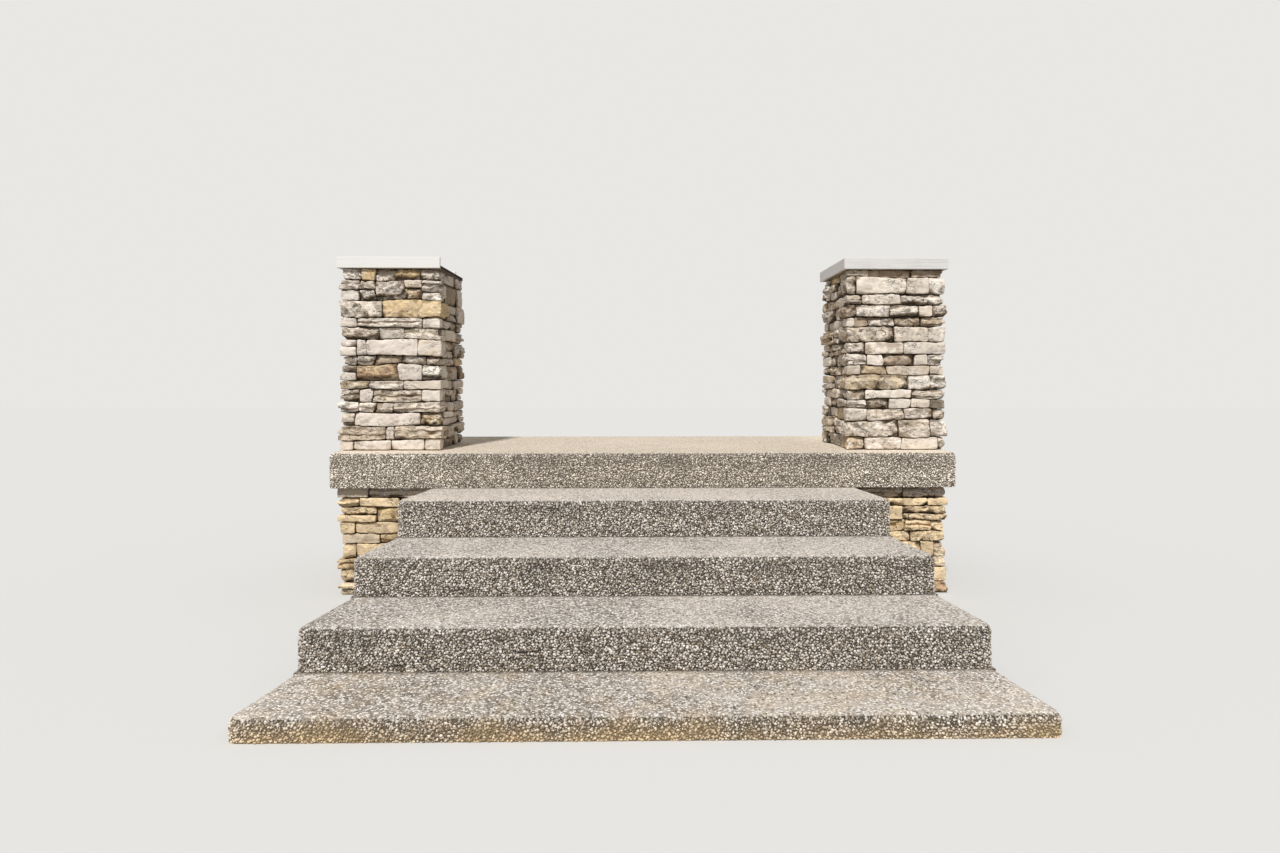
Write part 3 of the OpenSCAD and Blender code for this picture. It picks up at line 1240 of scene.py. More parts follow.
@dataclass
class Wall:
    """One outside face of a stone facing, seen from outside.

    A wall that faces front or back holds the long legs of the even bands, and one that
    faces a side those of the odd bands.

    Attributes:
        node: Node that it stands for.
        start: Its left end in plan.
        turn: Quarter turns from the front one, as seen from above.
        length: Its length.
        left: Number of the corner at its left end, or None at a plain end.
        right: The same at its right end.
        laying: How its stones are laid.
        plan: Bands of a laying plan from the ground up, or None to draw them.
    """

    node: str
    start: tuple[float, float]
    turn: int
    length: float
    left: Optional[int]
    right: Optional[int]
    laying: Laying
    plan: Optional[list[list[Cell]]] = None

    def __post_init__(self) -> None:
        """Work out its corner and its directions."""
        self.origin = np.array([*self.start, 0.0])
        self.along, self.inward = heading(self.turn)


@dataclass
class Stack:
    """Stones stacked between two joints of a band.

    Attributes:
        stones: The stones, top first.
        splits: Shares of the band's height at which they are parted, from its foot up.
        ends: Where it starts and ends along the wall.
        slants: How far the joints at its ends lean.
        seed: Seed of the stones' shapes.
        bend: Where it turns a corner, or None.
    """

    stones: list[Stone]
    splits: list[float]
    ends: tuple[float, float]
    slants: tuple[float, float]
    seed: int
    bend: Optional[float] = None


def spaced(length: float, edge: float, pitch: float) -> Array:
    """Spread places along a length: both ends, one an edge in from each, and even steps.

    Args:
        length: The length.
        edge: Width of the edge.
        pitch: About how far the steps lie apart.

    Returns:
        The places.
    """
    edge = min(edge, length / 4)
    steps = max(1, round((length - 2 * edge) / pitch))
    return np.concatenate([[0.0], np.linspace(edge, length - edge, steps + 1), [length]])


def quarter_fall(away: Array, radius: float) -> Array:
    """Give how far a quarter circle has fallen at distances in from its end."""
    short = np.clip(1 - away / radius, 0, 1)
    return radius * (1 - np.sqrt(1 - short ** 2))


@dataclass
class StoneShape:
    """Shape of one stone as a closed section carried along the wall.

    The section runs from the back of the bed up the face and back over the top. It is
    carried from the left joint to the right one, and in a corner stone round the
    corner, where every point turns on the mitre. Painted shade starts at shade_start
    behind the stone's highest point, and is full shade_span on, so recesses and joints
    are darker. Chips that look up lose the share rinsed of their painted shade, and
    those that look down gain down_shade of it. They are also painted paler or darker by
    the share bleached, as light from above would make them. Rows bend up and down by the
    share warp. The arris varies by the share fray, and where the stone turns it is worn
    by the share corner_arris. The second colour covers up to second_share, layers are at
    least about layer_height high, and ledge_gap parts them.

    Attributes:
        masonry: What the walls share.
        wall: The wall.
        cut: How the face was split.
        stack: The stack that the stone lies in.
        place: Its place in the stack, from 0 at the foot.
        band: Number of the band.
        set_back: How far its highest point lies behind the wall's face.
    """

    masonry: Masonry
    wall: Wall
    cut: CutShape
    stack: Stack
    place: int
    band: int
    set_back: float
    shade_start: float = 7 * MM
    shade_span: float = 10 * MM
    up_lit_share: float = 0.6
    down_shade: float = 0.5
    up_light: float = 0.16
    warp: float = 0.07
    fray: float = 0.35
    corner_arris: float = 0.6
    second_share: float = 0.64
    layer_height: float = 24 * MM
    ledge_gap: float = 1.2 * MM

    def __post_init__(self) -> None:
        """Work out its ends, its share of the band's height and its seed."""
        start, end = self.stack.ends
        self.first, self.last = start + self.masonry.joint / 2, end - self.masonry.joint / 2
        self.low, self.high = self.stack.splits[self.place:self.place + 2]
        self.seed, self.bend = self.stack.seed + self.place, self.stack.bend

    def stations(self) -> Array:
        """Spread the sections along the stone, one of them at the bend.

        Returns:
            Their places along the wall.
        """
        edge, pitch = self.masonry.edge, self.wall.laying.pitch
        if self.bend is None:
            return self.first + spaced(self.last - self.first, edge, pitch)
        leg = self.first + spaced(self.bend - self.first, edge, pitch)
        turn = self.bend + spaced(self.last - self.bend, edge, pitch)
        return np.concatenate([leg, turn[1:]])

    def rows(self, height: float, rng: Random) -> tuple[Array, Array]:
        """Give the rows up the face, and the layer that each one lies in.

        A face in layers has its rows in pairs at each ledge, so that it steps sharply.
        Rows that would lie closer than 0.8 mm are left out.

        Args:
            height: Height of the stone.
            rng: Source of the random draws.

        Returns:
            Heights of the rows from the stone's foot, and numbers of their layers.
        """
        pitch, edge = 0.85 * self.wall.laying.pitch, min(self.masonry.edge, height / 5)
        most = max(3, int(height / self.layer_height) + 2)
        layers = rng.integers(2, most) if self.cut.ledge else 1
        inner = (np.arange(1, layers) + rng.uniform(-0.3, 0.3, layers - 1)) * height / layers
        bounds = np.concatenate([[0.0], inner, [height]])
        rows = [np.array([edge, height - edge])]
        gap = self.ledge_gap if layers > 1 else 0.0
        for low, high in zip(bounds[:-1], bounds[1:]):
            start = low + gap * (low > 0)
            stop = high - gap * (high < height)
            rows.append(np.linspace(start, stop, max(2, round((stop - start) / pitch) + 1)))
        rows = np.unique(np.round(np.concatenate(rows), 5))
        rows = rows[np.concatenate([[True], np.diff(rows) >= 0.8 * MM])]
        rows[-1] = height
        return rows, np.searchsorted(inner, rows)

    def plan_point(self, s: Array, d: Array) -> Array:
        """Place points in plan by their distance along the wall and their depth.

        Before the bend a point lies at its distance along the wall and its depth in. In
        a bent stone the distances of deeper points are drawn in, so that they meet the
        mitre, and past the bend distance and depth swap parts.

        Args:
            s: Distances along the wall's face.
            d: Depths behind the face.

        Returns:
            Points with Z at 0.
        """
        w = self.wall
        if self.bend is None:
            return w.origin + s[..., None] * w.along + d[..., None] * w.inward
        a, b, corner = self.bend - self.first, self.last - self.bend, self.bend
        before = s <= corner + 1e-9
        x = np.where(before, self.first + (s - self.first) * (a - d) / a, corner - d)
        y = np.where(before, d, d + (s - corner) * (b - d) / b)
        return w.origin + x[..., None] * w.along + y[..., None] * w.inward

    def relief(self, s: Array, z: Array, size: tuple[float, float], layer: Array,
               rng: Random) -> Array:
        """Work out how far the split face lies behind its highest point.

        The depth is a sum. The dome grows with the fourth power of the distance from
        the middle. Each chip is a plane that starts some way out from the middle and
        falls away in its own direction, the first towards the foot, the second towards
        the top, and the deepest chip counts, up to a limit that it nears smoothly. A
        scallop is deepest on an edge, and its depth falls evenly along the edge and
        into the face, which gives it two flats and a ridge. Each layer stands at its
        own depth, which changes along the stone. The grain is a wave field, and the
        creases follow the places where two more of them pass through zero.

        Args:
            s: Distances from the middle of the stone along it.
            z: Heights from its middle.
            size: Length and height of the stone.
            layer: Number of the layer of each row.
            rng: Source of the random draws.

        Returns:
            The depth of each point.
        """
        c, m = self.cut, self.masonry
        width, height = size
        depth = c.dome * 0.5 * ((2 * s / width) ** 4 + (2 * z / height) ** 4)
        turn = np.radians(rng.choice([-90, 90], c.chips) + rng.uniform(-78, 78, c.chips))
        turn[:2] = np.radians([-90, 90] + rng.uniform(-12, 12, 2))
        across, up = np.cos(turn), np.sin(turn)
        rim = np.abs(across) * width / 2 + np.abs(up) * height / 2
        reach = np.minimum(rim * (1 - c.inner), m.chip_reach)
        start = rim - reach * rng.uniform(0.1, 1.0, c.chips)
        slope = c.slope * rng.uniform(0.4, 1.0, c.chips)
        fall = (s[..., None] * across + z[..., None] * up - start) * slope
        depth += m.deepest * np.tanh(np.clip(fall.max(-1), 0, None) / m.deepest)
        count = max(2, round(width / m.scallop_pitch))
        struck = rng.uniform(-0.5, 0.5, count) * width
        half, reach = rng.uniform(0.25, 1.1, count) * height, rng.uniform(0.25, 0.9, count) * height
        side, deep = rng.choice([-1, 1], count), c.scallop * rng.uniform(0.25, 1.0, count)
        inside = height / 2 - side * z[..., None]
        fall = 1 - np.abs(s[..., None] - struck) / half - inside / reach
        depth += (deep * np.clip(fall, 0, 1)).max(-1)
        spread = places(s + self.seed % 977, z, self.seed % 613)
        if c.ledge:
            layers = layer.max() + 1
            sign = np.where((np.arange(layers) + rng.integers(2)) % 2, 0.5, -0.5)
            steps = c.ledge * sign * rng.uniform(0.4, 1.0, layers)
            along = places(0.6 * s, layer * 3.1, self.seed % 389)
            depth += steps[layer] * (1 + 0.9 * m.swell.at(along))
            spread = spread * np.array([0.45, 1.7, 1.0])
        groove = np.clip(1 - np.abs(m.swell.at(spread + 5.0)) / 0.3, 0, 1)
        depth += c.grain * m.grain.at(spread)
        depth += c.crease * (0.7 * np.abs(m.swell.at(spread)) + 0.55 * groove)
        return depth

    def outline(self, rows: Array, height: float) -> tuple[Array, Array, Array]:
        """Work out the stone's outline seen from outside.

        The joints at its ends lean, and its edges are broken back here and there.

        Args:
            rows: Heights of the rows from its foot.
            height: Its height.

        Returns:
            For each section and row its place along the wall, and the heights of the
            stone's foot and top there.
        """
        m, line = self.masonry, self.stations()
        middle = (self.first + self.last) / 2 if self.bend is None else self.bend
        left = np.clip((middle - line) / (middle - self.first), 0, 1)[:, None]
        right = np.clip((line - middle) / (self.last - middle), 0, 1)[:, None]
        lean = rows / height - 0.5
        slants = self.stack.slants
        s = line[:, None] + left * (slants[0] * lean + m.broken(self.first, rows, 0.0))
        s = s + right * (slants[1] * lean - m.broken(self.last, rows, 0.0))
        face = self.plan_point(s, np.zeros_like(s))
        below, above = m.line(self.band, face), m.line(self.band + 1, face)
        base = below + (above - below) * self.low + m.joint / 2
        crown = below + (above - below) * self.high - m.joint / 2
        if self.band > 0 or self.low > 0:
            base = base + m.broken(s, self.band * 1.7 + self.low, 1.0)
        else:
            base = base + m.foot_gap
        return s, base, crown - m.broken(s, self.band * 1.7 + self.high, 2.0)

    def painted_shade(self, depth: Array, z: Array) -> tuple[Array, Array]:
        """Work out the painted shade on the face, from its depth and which way it looks.

        Args:
            depth: Depths of the points behind the wall's face.
            z: Their heights.

        Returns:
            How far the face looks up at each point, from -1 to 1, and the painted shade there.
        """
        upturned = np.gradient(depth, axis=1) / np.maximum(np.gradient(z, axis=1), MM)
        upturned = np.clip(upturned, -1, 1)
        painted_shade = np.clip((depth - self.set_back - self.shade_start) / self.shade_span, 0, 0.8)
        painted_shade = painted_shade * (1 - self.up_lit_share * np.clip(upturned, 0, 1))
        return upturned, np.clip(painted_shade + self.down_shade * np.clip(-upturned - 0.25, 0, 1), 0, 0.9)

    def make(self, parts: MeshParts, tint: Array) -> None:
        """Make the stone's mesh and add it to its wall's piece.

        Args:
            parts: The wall's piece.
            tint: Colour of the stone, and its second colour in the next row.
        """
        m = self.masonry
        rng = np.random.default_rng(self.seed)
        height = m.rise(self.band) * (self.high - self.low) - m.joint
        rows, layer = (np.pad(row, 1, "edge") for row in self.rows(height, rng))
        v = rows / height
        s, base, crown = self.outline(rows, height)
        warp = self.warp * m.swell.at(places(s, self.seed % 271, 0.0))
        started, ended = np.abs(s - s[:1]), np.abs(s[-1:] - s)
        cut = np.minimum(rng.uniform(*m.corner_cut, 4), 0.4 * height)
        crown = crown - quarter_fall(started, cut[0]) - quarter_fall(ended, cut[1])
        base = base + quarter_fall(started, cut[2]) + quarter_fall(ended, cut[3])
        z = base + (crown - base) * (v + warp * np.sin(math.pi * v))
        size = (self.last - self.first, height)
        middle = (self.first + self.last) / 2
        relief = self.relief(s - middle, z - z.mean(), size, layer[None, :], rng)
        depth = self.set_back + relief
        worn = 1 + self.fray * m.fray.at(places(s, z, self.seed % 157))
        radii = self.cut.arris * rng.uniform(0.6, 1.5, 4)
        for away, radius in zip((started, ended, z - base, crown - z), radii):
            depth = depth + quarter_fall(away, radius) * worn
        if self.bend is not None:
            turned = quarter_fall(np.abs(s - self.bend), self.cut.arris)
            depth = depth + turned * self.corner_arris
        room = m.bed_depth - MM - m.free_depth
        below = np.clip(depth - m.free_depth, 0, None)
        depth = np.minimum(depth, m.free_depth) + room * np.tanh(below / room)
        # Painted shade in recesses and down the joints; the rows at the back, in the joints, get it
        # in full.
        upturned, painted_shade = self.painted_shade(depth, z)
        depth[:, [0, -1]], painted_shade[:, [0, -1]] = m.back, 1.0
        points = self.plan_point(s, depth)
        points[..., 2] = z
        blend = np.clip(0.4 + 1.7 * m.swell.at(points + self.seed % 89), 0, 1)[..., None]
        blend = self.second_share * blend
        colour = tint[0] * (1 - blend) + tint[1] * blend
        # Painted light: faces that look up are paler, those that look down darker.
        colour = np.clip(colour * (1 + self.up_light * upturned[..., None]), 0, 1)
        values = np.concatenate([colour, painted_shade[..., None]], -1).reshape(-1, 4)
        coarse = np.full(s.size, self.cut.coarse)
        parts.add(points.reshape(-1, 3), carried_faces(*s.shape), tint=values, coarse=coarse)


@dataclass
class CornerStone:
    """What the two walls at a corner share in one band.

    Attributes:
        legs: Lengths on the wall before the corner and on the one after it.
        stack: The stones, placed along the wall before the corner.
        owner: Node of the wall that holds the long leg.
    """

    legs: tuple[float, float]
    stack: Stack
    owner: str


class StoneWork:
    """Builds the walls of one masonry, stone by stone."""

    def __init__(self, masonry: Masonry, walls: list[Wall]) -> None:
        """Note which walls meet at each corner.

        Args:
            masonry: What the walls share.
            walls: The walls, seen from outside, from left to right round the building.
        """
        self.masonry = masonry
        self.walls = walls
        self.rng = masonry.rng
        self.before = {wall.right: wall for wall in walls if wall.right is not None}
        self.after = {wall.left: wall for wall in walls if wall.left is not None}
        self.corners: dict[tuple[int, int], CornerStone] = {}

    def draw_seed(self) -> int:
        """Draw the seed of a stack's shapes."""
        return int(self.rng.integers(1 << 30))

    def splits(self, count: int) -> list[float]:
        """Give the shares of a band's height at which a stack of stones is parted."""
        inner = [(k + self.rng.uniform(-0.22, 0.22)) / count for k in range(1, count)]
        return [0.0, *sorted(inner), 1.0]

    def draw_cell(self, width: float, band: int) -> Cell:
        """Draw the stones of a cell: now and then two thin ones in a tall band.

        Args:
            width: Width of the cell.
            band: Number of the band.

        Returns:
            The cell.
        """
        m = self.masonry
        mix = m.top_mix if m.top_mix and band == len(m.lines) - 2 else m.mix
        stack = 2 if m.rise(band) > m.tall and self.rng.random() < m.pair_share else 1
        return Cell(width, [mix.draw(self.rng) for _ in range(stack)])

    def draw_corners(self) -> None:
        """Settle the corner stones of every band."""
        m = self.masonry
        for corner in sorted(self.before):
            wall, following = self.before[corner], self.after[corner]
            for band in range(len(m.lines) - 1):
                held = band % 2 == wall.turn % 2
                long, short = self.rng.uniform(*m.long_leg), self.rng.uniform(*m.short_leg)
                legs = (long, short) if held else (short, long)
                cell = self.draw_cell(0.0, band)
                if wall.plan:
                    cell = wall.plan[band][-1]
                    legs = (cell.width, legs[1])
                if following.plan:
                    cell = following.plan[band][0]
                    legs = (legs[0], cell.width)
                seed = self.draw_seed()
                stack = Stack(cell.stones, self.splits(len(cell.stones)),
                              (wall.length - legs[0], wall.length + legs[1]), (0.0, 0.0), seed,
                              wall.length)
                owner = wall.node if held else following.node
                self.corners[corner, band] = CornerStone(legs, stack, owner)

    def tints(self, stone: Stone) -> Array:
        """Mix a stone's own colour and the second one that blotches it.

        Args:
            stone: The stone.

        Returns:
            The two colours, one row each.
        """
        other = stone.second or self.masonry.mix.draw(self.rng).tone
        share = 1.0 if stone.second else 0.55
        base = np.array(stone.tone.value) * self.rng.uniform(0.9, 1.08)
        return np.stack([base, (1 - share) * base + share * np.array(other.value)])

    def lay(self, parts: MeshParts, wall: Wall, band: int, stack: Stack, uneven: float,
            recess: float = 0.0) -> None:
        """Lay the stones of one stack.

        Args:
            parts: The wall's piece.
            wall: The wall.
            band: Number of the band.
            stack: The stones and where they lie.
            uneven: How far each may stand out or back from its course.
            recess: How far all of them lie behind it.
        """
        m = self.masonry
        for k, stone in enumerate(reversed(stack.stones)):
            set_back = m.course_back[band] + recess + self.rng.uniform(-1, 1) * uneven
            if stack.bend is None and stone.tone in DARK_TONES:
                set_back += m.shelter
            shape = StoneShape(m, wall, stone.cut.value, stack, k, band, set_back)
            shape.make(parts, self.tints(stone))

    def middle_cells(self, wall: Wall, band: int, width: float) -> list[Cell]:
        """Give the cells between a wall's corner stones, planned or drawn, scaled to fit.

        Args:
            wall: The wall.
            band: Number of the band.
            width: Width that they fill.

        Returns:
            The cells from left to right.
        """
        m = self.masonry
        if wall.plan:
            last = len(wall.plan[band]) - (wall.right is not None)
            cells = wall.plan[band][int(wall.left is not None):last]
        else:
            cells, room = [], width
            while room > m.least / 3:
                span = m.narrow if self.rng.random() < m.narrow_share else m.wide
                taken = self.rng.uniform(*span) * min(1.0, 0.55 + m.rise(band) / 0.12)
                if room - taken < m.least:
                    taken = room
                cells.append(self.draw_cell(taken, band))
                room -= taken
        total = sum(cell.width for cell in cells)
        return [Cell(cell.width * width / total, cell.stones) for cell in cells]

    def mortar(self, wall: Wall) -> MeshParts:
        """Make the bed of mortar behind a wall's stones, as a plate.

        Args:
            wall: The wall.

        Returns:
            The wall's piece, with the bed in it.
        """
        m = self.masonry
        inset = m.facing if wall.turn % 2 else m.bed_depth
        s0 = inset if wall.left is not None else m.joint / 2
        s1 = wall.length - (inset if wall.right is not None else m.joint / 2)
        points = np.array([wall.origin + s * wall.along + d * wall.inward + [0, 0, z]
                           for s in (s0, s1) for d in (m.bed_depth, m.facing)
                           for z in (m.floor, m.floor + m.height)])
        quads = np.array([[0, 1, 3, 2], [4, 6, 7, 5], [0, 4, 5, 1],
                          [2, 3, 7, 6], [0, 2, 6, 4], [1, 5, 7, 3]])[:, ::-1]
        parts = MeshParts()
        # The mortar's fourth part is full, so it gets the deepest painted shade.
        parts.add(points, [quads], tint=np.tile([*Tone.MORTAR.value, 1.0], (8, 1)),
                  coarse=np.ones(8))
        return parts

    def build_band(self, parts: MeshParts, wall: Wall, band: int) -> None:
        """Lay a band's stones between its corner stones, with leaning joints.

        Args:
            parts: The wall's piece.
            wall: The wall.
            band: Number of the band.
        """
        start, end = 0.0, wall.length
        if wall.left is not None:
            start = self.corners[wall.left, band].legs[1]
        if wall.right is not None:
            end = wall.length - self.corners[wall.right, band].legs[0]
        cells = self.middle_cells(wall, band, end - start)
        place, slant = start, 0.0
        for k, cell in enumerate(cells):
            after = place + cell.width
            lean = 0.0 if k == len(cells) - 1 else self.rng.uniform(-1, 1) * self.masonry.lean
            stack = Stack(cell.stones, self.splits(len(cell.stones)), (place, after),
                          (slant, lean), self.draw_seed())
            self.lay(parts, wall, band, stack, wall.laying.uneven, wall.laying.recess)
            place, slant = after, lean

    def build(self, slot: str, finish: Material) -> None:
        """Build every wall as one piece of joined stones.

        Args:
            slot: Name of a material slot, passed on to install.
            finish: The stones' material.
        """
        self.draw_corners()
        pieces = {wall.node: self.mortar(wall) for wall in self.walls}
        for wall in self.walls:
            for band in range(len(self.masonry.lines) - 1):
                self.build_band(pieces[wall.node], wall, band)
        for (corner, band), stone in self.corners.items():
            wall = self.before[corner]
            uneven = min(wall.laying.uneven, self.after[corner].laying.uneven)
            self.lay(pieces[stone.owner], wall, band, stone.stack, uneven)
        for wall in self.walls:
            install(pieces[wall.node].build(f"{wall.node}_stones", 24), slot, finish, wall.node)


@dataclass(frozen=True)
class StoneFinish:
    """Split sandstone and limestone, from each stone's own colour.

    The fourth part of that colour is the painted shade of recesses and joints, which
    turns a stone brown and then near black. Beds of darker grains run through the stones,
    and in places veins and cracks cross them or small pits speckle them. Scales are per
    metre, and the offsets keep patterns of like scale apart.
    """

    dust_and_shade: Colour = srgb(150, 126, 96)
    # Near black of cracks and pits, and of the deepest painted shade.
    deep: Colour = srgb(58, 48, 39)
    bed_scale: Colour = (9.0, 9.0, 46.0)
    vein_scale: Colour = (13.0, 13.0, 30.0)
    crack_scale: Colour = (13.0, 13.0, 25.0)
    vein_offset: Colour = (0.3, 0.7, 0.1)
    mottle_scale: float = 38.0
    grain_scale: Colour = (80.0, 80.0, 165.0)
    pit_scale: Colour = (55.0, 55.0, 95.0)
    flat_scale: Colour = (17.0, 17.0, 27.0)
    small_flat_scale: Colour = (42.0, 42.0, 66.0)
    small_flat_offset: Colour = (0.2, 0.6, 0.4)
    light: float = 1.03

    def carving(self, graph: Graph, coarse: Socket) -> tuple[Socket, Socket]:
        """Draw what is cut into the face: small pits, and veins with cracks.

        Args:
            graph: The material's graph.
            coarse: How much of the finish's fine unevenness a stone shows.

        Returns:
            The pits, and the veins and cracks, each as a share from 0 to 1.
        """
        patchy = graph.noise(8.0, 3)
        place = graph.stretch(self.pit_scale)
        tone = graph.part(graph.cells(place).outputs["Color"], "X")
        pits = graph.times(graph.remap(tone, 0.91, 0.93),
                           graph.remap(graph.border(place), 0.1, 0.3),
                           graph.remap(patchy, 0.45, 0.6), coarse)
        veins = graph.off(graph.grain(self.vein_scale, 5, 0.62, self.vein_offset), 0.5)
        veins = graph.times(graph.remap(veins, 0.0, 0.014, 1.0, 0.0),
                            graph.remap(patchy, 0.42, 0.56, 1.0, 0.0))
        split = graph.border(graph.stretch(self.crack_scale, self.vein_offset))
        cracks = graph.times(graph.remap(split, 0.01, 0.045, 1.0, 0.0),
                             graph.remap(graph.noise(24.0, 2), 0.42, 0.48, 1.0, 0.0),
                             graph.remap(coarse, 0.7, 1.0))
        return pits, graph.maths("MAXIMUM", cracks, veins)

    def material(self, name: str) -> Material:
        """Make the stones' material.

        Args:
            name: Name of the material.

        Returns:
            The material.
        """
        graph = Graph(name)
        hollow, coarse = graph.value("tint", "Alpha"), graph.value("coarse")
        pits, cracks = self.carving(graph, coarse)
        beds = graph.grain(self.bed_scale, 6, 0.65)
        mottle = graph.noise(self.mottle_scale, 7, 0.66)
        broad, shade = graph.flats(graph.stretch(self.flat_scale))
        small, small_shade = graph.flats(graph.stretch(self.small_flat_scale, self.small_flat_offset))
        # Painted shade and light: flats that lean down are darker and those that lean up paler; the
        # mottle and grain vary the tone at random.
        light = graph.times(graph.remap(shade, 0.1, 0.9, 1.09, 0.9),
                            graph.remap(small_shade, 0.1, 0.9, 1.07, 0.93),
                            graph.remap(mottle, 0.3, 0.7, 0.93, 1.12),
                            graph.remap(graph.grain(self.grain_scale, 3, 0.6),
                                        0.36, 0.64, 0.88, 1.11))
        light = graph.times(graph.minus(light, self.light), coarse)
        colour = graph.shaded(graph.value("tint", "Color"), graph.maths("ADD", light, self.light))
        # The tint's fourth part paints shade into recesses and joints, brown and then near black;
        # the beds are darker grains.
        for share, stain in ((graph.remap(beds, 0.5, 0.72, 0.0, 0.3), self.dust_and_shade),
                             (graph.remap(hollow, 0.0, 0.6, 0.0, 0.55), self.dust_and_shade),
                             (graph.times(cracks, 0.8), self.deep),
                             (graph.times(pits, 0.8), self.deep),
                             (graph.remap(hollow, 0.4, 1.0, 0.0, 0.95), self.deep)):
            colour = graph.mix(share, colour, stain)
        whole = graph.minus(1.0, graph.maths("MAXIMUM", pits, cracks))
        normal = None
        for height, depth, strength in ((broad, 38 * MM, coarse), (small, 12 * MM, coarse),
                                        (beds, 3 * MM, 0.5), (mottle, 4 * MM, 0.6),
                                        (whole, 2 * MM, 0.9)):
            normal = graph.bump(height, depth, strength, normal)
        return graph.close(colour, 0.9, normal, gloss=0.25)


@dataclass(frozen=True)
class PaintFinish:
    """Exterior paint over sawn board, with the brush and the grain showing."""

    paint: Colour
    worn: Colour
    grain: float

    def material(self, name: str, along_x: bool) -> Material:
        """Make the paint of a board.

        Args:
            name: Name of the material.
            along_x: Whether the board runs along X, and not along Y.

        Returns:
            The material.
        """
        graph = Graph(name)
        brush = graph.grain((4, 160, 160) if along_x else (160, 4, 160), 4, 0.6)
        share = graph.times(graph.remap(brush, 0.45, 0.75), self.grain)
        colour = graph.mix(share, self.paint, self.worn)
        patch = graph.remap(graph.noise(14, 4), 0.5, 0.8, 0.0, 0.3 * self.grain)
        colour = graph.mix(patch, colour, self.worn)
        return graph.close(colour, 0.55, graph.bump(brush, 0.5 * MM, 0.6), gloss=0.4)


@dataclass(frozen=True)
class DeckFinish:
    """Weathered sawn boards, with the paler square where a column's foot kept them dry."""

    wood: Colour = srgb(164, 150, 130)
    dry: Colour = srgb(196, 182, 160)
    grain: Colour = srgb(112, 98, 82)
    gap: Colour = srgb(46, 40, 34)
    boards: int = 4
    half_foot: float = 215 * MM
    foot_blur: float = 3 * MM

    def material(self, node: str) -> Material:
        """Make the material of one cap's deck, whose boards run from front to back.

        Args:
            node: The deck's node, which gives the boards' widths and the middle.

        Returns:
            The material.
        """
        low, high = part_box(node)
        graph = Graph(f"{node}_boards")
        x, y = graph.coordinate("X"), graph.coordinate("Y")
        rings = graph.grain((70, 3.5, 70), 5, 0.6)
        stain = graph.remap(graph.noise(7, 5), 0.45, 0.7, 0.0, 0.5)
        away = graph.maths("MAXIMUM", graph.off(x, (low.x + high.x) / 2),
                           graph.off(y, (low.y + high.y) / 2))
        foot = graph.remap(away, self.half_foot - self.foot_blur,
                           self.half_foot + self.foot_blur, 0.6, 0.0)
        count = graph.times(graph.minus(x, low.x), self.boards / (high.x - low.x))
        split = graph.remap(graph.off(graph.maths("FRACT", count), 0.5), 0.482, 0.49)
        colour = graph.mix(graph.remap(rings, 0.4, 0.7), self.wood, self.grain)
        for share, over in ((stain, self.grain), (foot, self.dry), (split, self.gap)):
            colour = graph.mix(share, colour, over)
        normal = graph.bump(graph.minus(1.0, split), 5 * MM)
        return graph.close(colour, 0.8, graph.bump(rings, 0.8 * MM, under=normal))


@dataclass(frozen=True)
class BlockFinish:
    """Plain grey concrete block."""

    face: Colour = srgb(150, 147, 140)
    pores: Colour = srgb(96, 93, 88)

    def material(self) -> Material:
        """Make the block's material.

        Returns:
            The material.
        """
        graph = Graph("concrete_block")
        pores = graph.noise(180, 4, 0.7)
        colour = graph.mix(graph.remap(pores, 0.5, 0.7), self.face, self.pores)
        return graph.close(colour, 0.9, graph.bump(pores, 0.9 * MM))


class Side(Enum):
    """The two piers, with their faces from the front one round to the right."""

    LEFT = ("front", "inner", "back", "outer")
    RIGHT = ("front", "outer", "back", "inner")


# Hollows that the photo shows in the risers.
VOIDS = {
    "step_2": (Void(-0.485, 0.165, 60 * MM, 6 * MM), Void(-1.0, 0.112, 45 * MM, 4 * MM)),
    "step_3": (Void(-0.86, 0.292, 70 * MM, 4.5 * MM),),
}


@dataclass
class Flight:
    """The four poured steps and the landing slab, with one number for each of the five.

    The numbers are those of BlockWeather.
    """

    washed: tuple[float, ...] = (1.0, 0.98, 0.89, 0.7, 0.42)
    film: tuple[float, ...] = (0.0, 0.0, 0.0, 0.15, 0.3)
    ends: tuple[float, ...] = (1.08, 1.0, 1.0, 1.0, 1.23)
    foot_shade: tuple[float, ...] = (1.12, 0.86, 0.86, 0.92, 0.94)
    soil_top: float = 0.107
    soil_share: float = 0.82
    pitch: float = 12.2 * MM
    slab_pitch: float = 12.6 * MM
    seed: int = 11
    slab_finish: AggregateFinish = AggregateFinish(
        tread_paste=srgb(241, 222, 197), riser_paste=srgb(88, 80, 70), bright=srgb(252, 243, 229),
        pale=srgb(225, 213, 197), middle=srgb(206, 196, 181), brown=srgb(180, 165, 147))

    def build(self) -> None:
        """Dress the steps and the slab."""
        nodes = ("step_1", "step_2", "step_3", "step_4", "landing_slab")
        for k, node in enumerate(nodes):
            last = node == nodes[-1]
            covered_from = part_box(node)[1].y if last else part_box(nodes[k + 1])[0].y
            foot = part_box(nodes[k - 1])[1].z if k else 0.0
            crease = BlockWeather.crease if last else covered_from
            weather = BlockWeather(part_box(node)[1].z, self.soil_top, self.soil_share,
                                   self.washed[k], self.film[k], self.ends[k], foot,
                                   self.foot_shade[k], crease, VOIDS.get(node, ()))
            finish = self.slab_finish if last else AggregateFinish()
            PouredBlock(node, covered_from, weather, self.seed + k, last, finish,
                        self.slab_pitch if last else self.pitch).dress()


# How the stones of a pier's four faces are laid.
PIER_LAYING = {"front": Laying(8.5 * MM, 5 * MM), "inner": Laying(11 * MM, 14 * MM, 10 * MM),
               "outer": Laying(13 * MM, 8 * MM, 2 * MM), "back": Laying(14 * MM, 7 * MM)}


